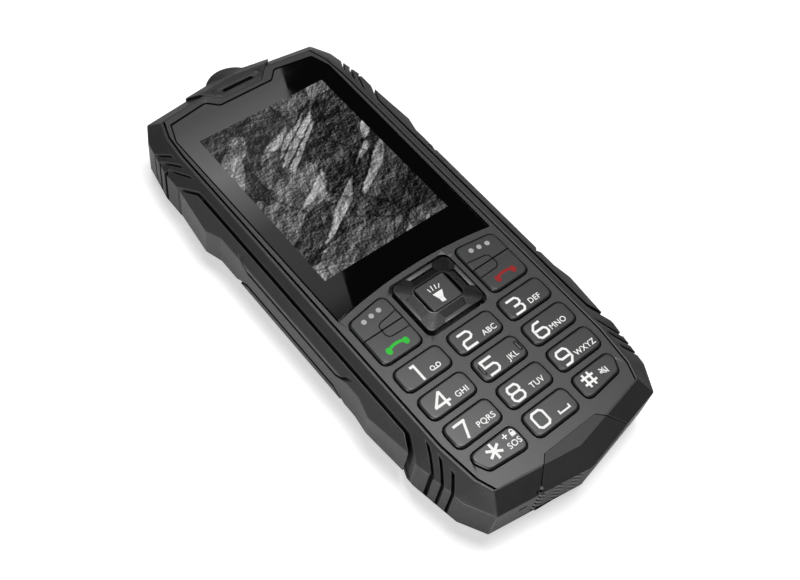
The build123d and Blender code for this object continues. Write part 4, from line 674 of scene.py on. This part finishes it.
def navigation_ring():
    """Four-way key: it rises to a rim round the centre key. Each side has a trough, with a raised lip
    outside it that a thumb presses."""
    half_x, half_y = NAV_WIDTH / 2, NAV_LENGTH / 2
    # how far in, corner radius, height, and whether the band above is an edge
    # An edge band takes the paler ring colour, a painted highlight.
    profile = [
        (0, 1.6, NAV_FOOT, 0), (0, 1.6, 16.35, 1), (0.07, 1.55, 16.52, 1), (0.22, 1.45, 16.62, 0),
        (3.0, 1.7, 17.0, 1), (3.08, 1.65, 17.03, 1), (3.22, 1.6, 17.03, 1), (3.36, 1.5, 16.9, 0),
        (3.36, 1.5, NAV_FOOT, 0)]
    loops = [
        rounded_loop(half_x - inset, half_y - inset, radius, z) for inset, radius, z, kind in profile]
    ring = lofted("nav_ring_moulding", loops, [NAV, NAV_EDGE], [kind for *place, kind in profile])
    lips = []
    for index in range(4):
        outer, long = ((half_x, 3.6), (half_y, 4.1))[index % 2]
        turn = Matrix.Rotation(math.radians(90 * index), 4, "Z")
        cutter = trough_cutter(outer, long)
        cutter.data.transform(turn)
        modified(ring, "BOOLEAN", operation="DIFFERENCE", object=cutter, solver="EXACT")
        bpy.data.objects.remove(cutter)
        lip = pressed_lip(outer, long)
        lip.data.transform(turn)
        activate(lip)
        bpy.ops.object.shade_smooth_by_angle(angle=math.radians(40))
        lips.append(lip)
    activate(ring)
    bpy.ops.object.shade_smooth_by_angle(angle=math.radians(28))
    modified(ring, "WEIGHTED_NORMAL", keep_sharp=True)
    whole = joined("nav_ring_moulding", [ring] + lips)
    whole.data.transform(Matrix.Translation((0, NAV_Y * MM, 0)))
    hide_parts("nav_ring")
    settle(whole, "nav_ring")


def centre_moulding():
    """The centre key stands level with the ring's rim: its crown is lowered."""
    crown_foot = 16.6 * MM
    piece = dressed(
        "centre_key_moulding", "centre_key", "centre_key", "key_plastic", KEY, KEY_EDGE, 0.1, crease=32)
    for vertex in piece.data.vertices:
        if vertex.co.z > crown_foot:
            vertex.co.z -= CENTRE_DROP * MM


def flap_moulding():
    """The port flap; the faces of its wall carry the herringbone."""
    piece = dressed(
        "flap_moulding", "port_flap", "port_flap", "soft_rubber", RUBBER, RUBBER_EDGE, 0.1, crease=20)
    piece.data.materials.append(HERRINGBONE)
    sliver = 0.5 * MM * MM
    for polygon in piece.data.polygons:
        upright = abs(polygon.normal.z) < 0.35 and polygon.normal.y < -0.5
        if upright and polygon.area > sliver and polygon.center.z < FLAP_WALL_TOP * MM:
            polygon.material_index = 2


# ---------------------------------------------------------------- display

def display_picture():
    """The lit image, a hair above the glass that carries it."""
    bpy.ops.object.select_all(action="DESELECT")
    middle = GLASS_TOP + IMAGE_DEPTH / 2
    bpy.ops.mesh.primitive_cube_add(size=1, location=(0, IMAGE_Y * MM, middle * MM))
    piece = bpy.context.object
    piece.name = "display_picture"
    piece.scale = (IMAGE_WIDTH * MM, IMAGE_LENGTH * MM, IMAGE_DEPTH * MM)
    piece.data.materials.append(PICTURE)
    settle(piece, "phone_body")


# ---------------------------------------------------------------- legends

def strokes(paths, width, closed=False):
    """Pen strokes in millimetres round the origin, drawn as tubes and pressed flat. Each lies a hair
    higher than the one before, so that no two tops share a plane where they cross."""
    curve = bpy.data.curves.new("strokes", "CURVE")
    curve.dimensions = "3D"
    curve.bevel_depth = width / 2 * MM
    curve.bevel_resolution = 1
    curve.use_fill_caps = True
    for index, path in enumerate(paths):
        lift = 0.0015 * index * width / INK
        spline = curve.splines.new("POLY")
        spline.points.add(len(path) - 1)
        spline.use_cyclic_u = closed
        for point, (x, y) in zip(spline.points, path):
            point.co = (x * MM, y * MM, lift * MM, 1)
    piece = placed("strokes", curve)
    activate(piece)
    bpy.ops.object.convert(target="MESH")
    piece = bpy.context.object
    bpy.ops.object.shade_flat()
    piece.data.transform(Matrix.Scale(INK / width, 4, (0, 0, 1)))
    return piece


def letters(text, centre):
    bpy.ops.object.select_all(action="DESELECT")
    bpy.ops.object.text_add()
    piece = bpy.context.object
    piece.data.body = text
    piece.data.size = LETTER_SIZE * MM
    piece.data.space_character = 1.08
    piece.data.align_x = "CENTER"
    piece.data.align_y = "CENTER"
    piece.data.offset = 0.025 * MM
    piece.data.extrude = INK / 2 * MM
    bpy.ops.object.convert(target="MESH")
    piece = bpy.context.object
    piece.data.transform(Matrix.Translation((centre[0] * MM, centre[1] * MM, 0)))
    return piece


def circle(radius, centre=(0, 0)):
    count = 20
    turn = 2 * math.pi / count
    return [
        (centre[0] + radius * math.cos(i * turn), centre[1] + radius * math.sin(i * turn))
        for i in range(count)]


def disc(radius, centre):
    bpy.ops.object.select_all(action="DESELECT")
    bpy.ops.mesh.primitive_cylinder_add(
        vertices=24, radius=radius * MM, depth=INK * MM, location=(centre[0] * MM, centre[1] * MM, 0))
    piece = bpy.context.object
    bpy.ops.object.transform_apply(location=True)
    return piece


def legend(name, body, pieces, x, y, ink, top=KEY_TOP):
    """Marks joined, coloured and laid on a key's top."""
    piece = joined(name, pieces)
    piece.data.materials.clear()
    piece.data.materials.append(ink)
    piece.data.transform(Matrix.Translation((x * MM, y * MM, (top + INK / 3) * MM)))
    settle(piece, body)


# Half the width and height of a digit's pen line, and its corner cut. A stroke ends square, so one
# that closes a corner starts OVER further out.
W, H, C = 1.55, 1.85, 0.6
OVER = 0.31
SIX = [
    (W - 0.3, H), (-0.5, H), (-W, H - 1.1), (-W, C - H), (C - W, -H), (W - C, -H), (W, C - H), (W, -0.4),
    (W - C, 0.15), (-W, 0.15)]
DIGITS = {
    "1": [[(-0.85, H), (0.35, H)], [(0.2, H + OVER), (0.2, -H - OVER)]],
    "2": [[(-W, H), (W - C, H), (W, H - C), (W, 0.5), (W - C, 0), (C - W, 0), (-W, -0.5), (-W, -H)],
          [(-W - OVER, -H), (W, -H)]],
    "3": [[(-W, H), (W - C, H), (W, H - C), (W, 0.5), (W - C, 0), (W, -0.5), (W, C - H), (W - C, -H),
           (-W, -H)],
          [(-0.6, 0), (W - C, 0)]],
    "4": [[(0.6, H + 0.3), (-2.3, -0.7)], [(-2.5, -0.7), (1.7, -0.7)],
          [(0.6, H + 0.3), (0.6, -H - 0.1)]],
    "5": [[(W, H), (-W - OVER, H)], [(-W, H), (-W, -0.1)],
          [(-W - OVER, 0.2), (W - C, 0.2), (W, -0.35), (W, C - H), (W - C, -H), (-W, -H)]],
    "6": [SIX],
    "7": [[(-W, H), (W + 0.1, H)], [(W - 0.15, H + 0.2), (-0.25, -H - 0.1)]],
    "8": [],
    "9": [[(-x, -y) for x, y in SIX]],
    "0": [],
}
RINGS = {
    "0": [[(-W, C - H), (-W, H - C), (C - W, H), (W - C, H), (W, H - C), (W, C - H), (W - C, -H),
           (C - W, -H)]],
    "8": [
        [(0.1 - W, 0.55), (0.1 - W, H - C), (C - W, H), (W - C, H), (W - 0.1, H - C), (W - 0.1, 0.55),
         (W - C, 0.08), (C - W, 0.08)],
        [(-W, -0.45), (C - W, 0.08), (W - C, 0.08), (W, -0.45), (W, C - H), (W - C, -H), (C - W, -H),
         (-W, C - H)]],
}
# The digit on each key and its centre, and the letters and theirs.
NUMBER_LEGENDS = {
    "key_1": ("1", -16.9, -30.15, "", 0, 0),
    "key_2": ("2", -2.75, -30.3, "ABC", 2.95, -31.2),
    "key_3": ("3", 12.15, -30.25, "DEF", 16.95, -31.2),
    "key_4": ("4", -17.0, -38.15, "GHI", -12.2, -39.05),
    "key_5": ("5", -3.0, -38.15, "JKL", 2.75, -39.1),
    "key_6": ("6", 12.2, -38.05, "MNO", 16.8, -39.05),
    "key_7": ("7", -17.9, -46.1, "PQRS", -12.5, -47.0),
    "key_8": ("8", -3.0, -46.2, "TUV", 2.5, -47.05),
    "key_9": ("9", 11.9, -46.25, "WXYZ", 17.35, -47.15),
    "key_0": ("0", -3.0, -53.85, "", 0, 0),
}


def number_legends():
    for key, (digit, x, y, text, text_x, text_y) in NUMBER_LEGENDS.items():
        pieces = []
        if DIGITS[digit]:
            pieces.append(strokes(DIGITS[digit], PEN))
        if digit in RINGS:
            pieces.append(strokes(RINGS[digit], PEN, closed=True))
        if text:
            pieces.append(letters(text, (text_x - x, text_y - y)))
        if digit == "1":
            reels = [circle(0.5, (3.3, -0.95)), circle(0.5, (4.9, -0.95))]
            pieces.append(strokes(reels, 0.26, closed=True))
            pieces.append(strokes([[(3.3, -1.45), (4.9, -1.45)]], 0.26))
        if digit == "0":
            tray = [(4.35, -0.85), (4.35, -1.65), (7.2, -1.65), (7.2, -0.85)]
            pieces.append(strokes([tray[0:2], [(4.13, -1.65), (7.42, -1.65)], tray[2:4]], 0.4))
        legend(f"{key}_legend", key, pieces, x, y, WHITE_INK)


def star_legend():
    """A six-armed star, and beside it a plus, a padlock and letters."""
    arms = []
    for angle in (90, 30, -30):
        x, y = 1.9 * math.cos(math.radians(angle)), 1.9 * math.sin(math.radians(angle))
        arms.append([(-x, -y), (x, y)])
    star = strokes(arms, 0.62)
    plus = strokes([[(3.25, 1.1), (4.55, 1.1)], [(3.9, 0.45), (3.9, 1.75)]], 0.3)
    shackle = [
        (5.85 + 0.42 * math.cos(math.radians(a)), 1.15 + 0.5 * math.sin(math.radians(a)))
        for a in range(180, -1, -30)]
    lock = strokes([shackle], 0.26)
    lock_body = strokes([[(5.25, 0.62), (6.45, 0.62)]], 0.95)
    sos = letters("SOS", (4.75, -1.2))
    legend("key_star_legend", "key_star", [star, plus, lock, lock_body, sos], -15.95, -53.35, WHITE_INK)


def hash_legend():
    """A hash sign, and beside it a loudspeaker that is struck out."""
    bars = []
    for offset in (-0.72, 0.72):
        bars.append([(offset, -1.75), (offset, 1.75)])
        bars.append([(-1.75, offset), (1.75, offset)])
    sign = strokes(bars, 0.56)
    horn = [(3.3, -0.2), (3.8, -0.2), (4.5, 0.45), (4.5, -1.05), (3.8, -0.5), (3.3, -0.5)]
    speaker = strokes([horn], 0.3, closed=True)
    slash = strokes([[(3.4, 0.55), (5.2, -1.2)], [(5.1, 0.3), (5.1, -0.8)]], 0.3)
    legend("key_hash_legend", "key_hash", [sign, speaker, slash], 12.25, -53.45, WHITE_INK)


def handset():
    """A telephone receiver seen from the side: a thin bowed grip between two round ends, which
    stand a hair higher than the grip."""
    bow, low = 5.3, 5.18
    turns = [math.radians(117 - 4.5 * step) for step in range(13)]
    pieces = [strokes([[(bow * math.cos(a), bow * math.sin(a) - low) for a in turns]], 0.72)]
    for side in (-1, 1):
        end = [(side * (2.36 + 0.74 * x), -0.6 + 0.92 * y) for x, y in circle(1.0)]
        pieces.append(prism("end", end[::side], -INK / 2, INK / 2 + 0.003, WHITE_INK))
    return pieces


def call_legends():
    legend("call_key_legend", "call_key", handset(), -16.15, -21.9, GREEN_INK)
    legend("end_key_legend", "end_key", handset(), 16.15, -21.9, RED_INK)


def soft_key_marks():
    """Three dots on each soft key, and the hairline grooves beside the navigation key, drawn as dark
    lines of painted shade.
    """
    for side, name, lower in ((-1, "soft_key_left", "call_key"), (1, "soft_key_right", "end_key")):
        dots = []
        for x, y in ((13.85, -13.1), (16.1, -13.35), (18.4, -13.65)):
            dots.append(disc(0.62, (side * x, y)))
        legend(f"{name}_dots", name, dots, 0, 0, GREY_INK)
        upper = [(10.75, -15.2), (15.6, -15.9), (16.4, -16.4), (16.55, -17.44)]
        under = [(16.6, -17.62), (16.6, -18.9), (16.2, -19.6), (15.5, -19.95), (10.75, -20.05)]
        # The grooves are dark strokes of painted shade laid on the keys, not cut.
        upper_line = strokes([[(side * x, y) for x, y in upper]], 0.3)
        legend(f"{name}_groove_shade", name, [upper_line], 0, 0, SHADOW_LINE)
        under_line = strokes([[(side * x, y) for x, y in under]], 0.3)
        legend(f"{lower}_groove_shade", lower, [under_line], 0, 0, SHADOW_LINE)


def torch_legend():
    """A hand torch, pointing up, with four rays."""
    parts = []
    for outline in (
            [(-1.65, -17.2), (1.15, -17.25), (0.15, -18.95), (-1.05, -18.85)],
            [(-1.05, -18.75), (0.15, -18.85), (0.1, -20.05), (-1.0, -19.9)]):
        parts.append(prism("torch", outline, 0, INK, WHITE_INK))
    rays = strokes(
        [[(-1.72, -15.4), (-1.5, -16.5)], [(-0.55, -15.1), (-0.75, -16.5)], [(0.4, -15.3), (0.1, -16.5)],
         [(1.5, -15.65), (0.75, -16.6)]], 0.24)
    legend("torch_legend", "centre_key", parts + [rays], 0, 0, WHITE_INK, CENTRE_TOP)


def touch_ribs():
    """Two low capsules on the middle key, which a thumb finds without looking."""
    radius, half_length, row_y = 0.48 * MM, 0.85 * MM, -38.0 * MM
    for index, x in enumerate((-5.25, 5.35)):
        bpy.ops.object.select_all(action="DESELECT")
        bpy.ops.mesh.primitive_uv_sphere_add(segments=20, ring_count=12, radius=radius)
        rib = bpy.context.object
        rib.name = f"touch_rib_{index + 1}"
        for vertex in rib.data.vertices:
            vertex.co.y += half_length if vertex.co.y > 0 else -half_length
        rib.scale.z = 0.6
        rib.location = (x * MM, row_y, (KEY_TOP - 0.04) * MM)
        rib.data.materials.append(KEY_EDGE)
        bpy.ops.object.shade_smooth()
        settle(rib, "key_5")


# ---------------------------------------------------------------- stage

def floor():
    """Pale paper. Its glow, which only the camera sees, makes the background white and leaves the
    shadow."""
    bpy.ops.object.select_all(action="DESELECT")
    bpy.ops.mesh.primitive_plane_add(size=6)
    plane = bpy.context.object
    plane.name = "pale_floor"
    material, tree = new_material("pale_floor_paper")
    diffuse = add(tree, "BsdfDiffuse", {"Color": linear("#eeeeee")})
    glow = add(tree, "Emission", {"Color": linear("#ffffff"), "Strength": 0.4})
    both = add(tree, "AddShader", {0: diffuse.outputs[0], 1: glow.outputs[0]})
    seen = add(tree, "LightPath").outputs["Is Camera Ray"]
    mix = add(tree, "MixShader", {0: seen, 1: diffuse.outputs[0], 2: both.outputs[0]})
    add(tree, "OutputMaterial", {"Surface": mix.outputs[0]})
    plane.data.materials.append(material)


def soft_light(name, place, power, width, length):
    lamp = bpy.data.lights.new(name, "AREA")
    lamp.shape = "RECTANGLE"
    lamp.size = width * MM
    lamp.size_y = length * MM
    lamp.energy = power
    piece = placed(name, lamp)
    piece.location = Vector(place) * MM
    piece.rotation_euler = (LIGHT_AIM - Vector(place)).to_track_quat("-Z", "Y").to_euler()


def reflecting_card():
    """A white card over the far end: its slanting edge lies across the glass as a pale sheet."""
    bpy.ops.object.select_all(action="DESELECT")
    bpy.ops.mesh.primitive_plane_add(size=1)
    card = bpy.context.object
    card.name = "slanting_card"
    corners = [(60, 90), (139, 90), (60, 460), (304, 460)]
    height = 450
    for vertex, (x, y) in zip(card.data.vertices, corners):
        vertex.co = (x * MM, y * MM, height * MM)
    material, tree = new_material("card_light")
    place = add(tree, "TexCoord").outputs["Object"]
    axes = add(tree, "SeparateXYZ", {"Vector": place})
    along = add(tree, "MapRange", {"Value": axes.outputs["Y"], "From Min": 0.18, "From Max": 0.42})
    level = ramp(
        tree, along.outputs["Result"],
        [(0, "#4a4a4a"), (0.08, "#7a7a7a"), (0.38, "#898989"), (0.63, "#e7e7e7"), (0.88, "#a4a4a4")])
    glow = add(tree, "Emission", {"Color": level, "Strength": 4.0})
    add(tree, "OutputMaterial", {"Surface": glow.outputs[0]})
    card.data.materials.append(material)


def lights():
    soft_light("overhead_softbox", (95, 50, 620), 3.6, 320, 250)
    soft_light("right_softbox", (640, 240, 460), 0.2, 160, 160)
    soft_light("left_softbox", (-500, -220, 230), 2.2, 320, 200)
    world = bpy.context.scene.world or bpy.data.worlds.new("studio")
    bpy.context.scene.world = world
    world.use_nodes = True
    tree = world.node_tree
    tree.nodes.clear()
    dim = add(tree, "Background", {"Color": linear("#ffffff"), "Strength": 0.03})
    white = add(tree, "Background", {"Color": linear("#ffffff"), "Strength": 1.0})
    seen = add(tree, "LightPath").outputs["Is Camera Ray"]
    mix = add(tree, "MixShader", {0: seen, 1: dim.outputs[0], 2: white.outputs[0]})
    add(tree, "OutputWorld", {"Surface": mix.outputs[0]})


def camera():
    """Where the photograph was taken from: found from the display's corners."""
    lens = bpy.data.cameras.new("camera")
    lens.lens = 47.263
    lens.sensor_width = 36
    lens.sensor_fit = "HORIZONTAL"
    lens.clip_start = 0.01
    piece = placed("camera", lens)
    piece.location = (-106.536 * MM, -94.968 * MM, 210.750 * MM)
    piece.rotation_euler = [math.radians(a) for a in (33.19173, -6.85340, -39.90630)]
    bpy.context.scene.camera = piece


case_mouldings()
key_mouldings()
navigation_ring()
centre_moulding()
flap_moulding()
display_picture()
number_legends()
star_legend()
hash_legend()
call_legends()
soft_key_marks()
torch_legend()
touch_ribs()
floor()
reflecting_card()
lights()
camera()

bpy.context.scene.view_settings.view_transform = "Standard"
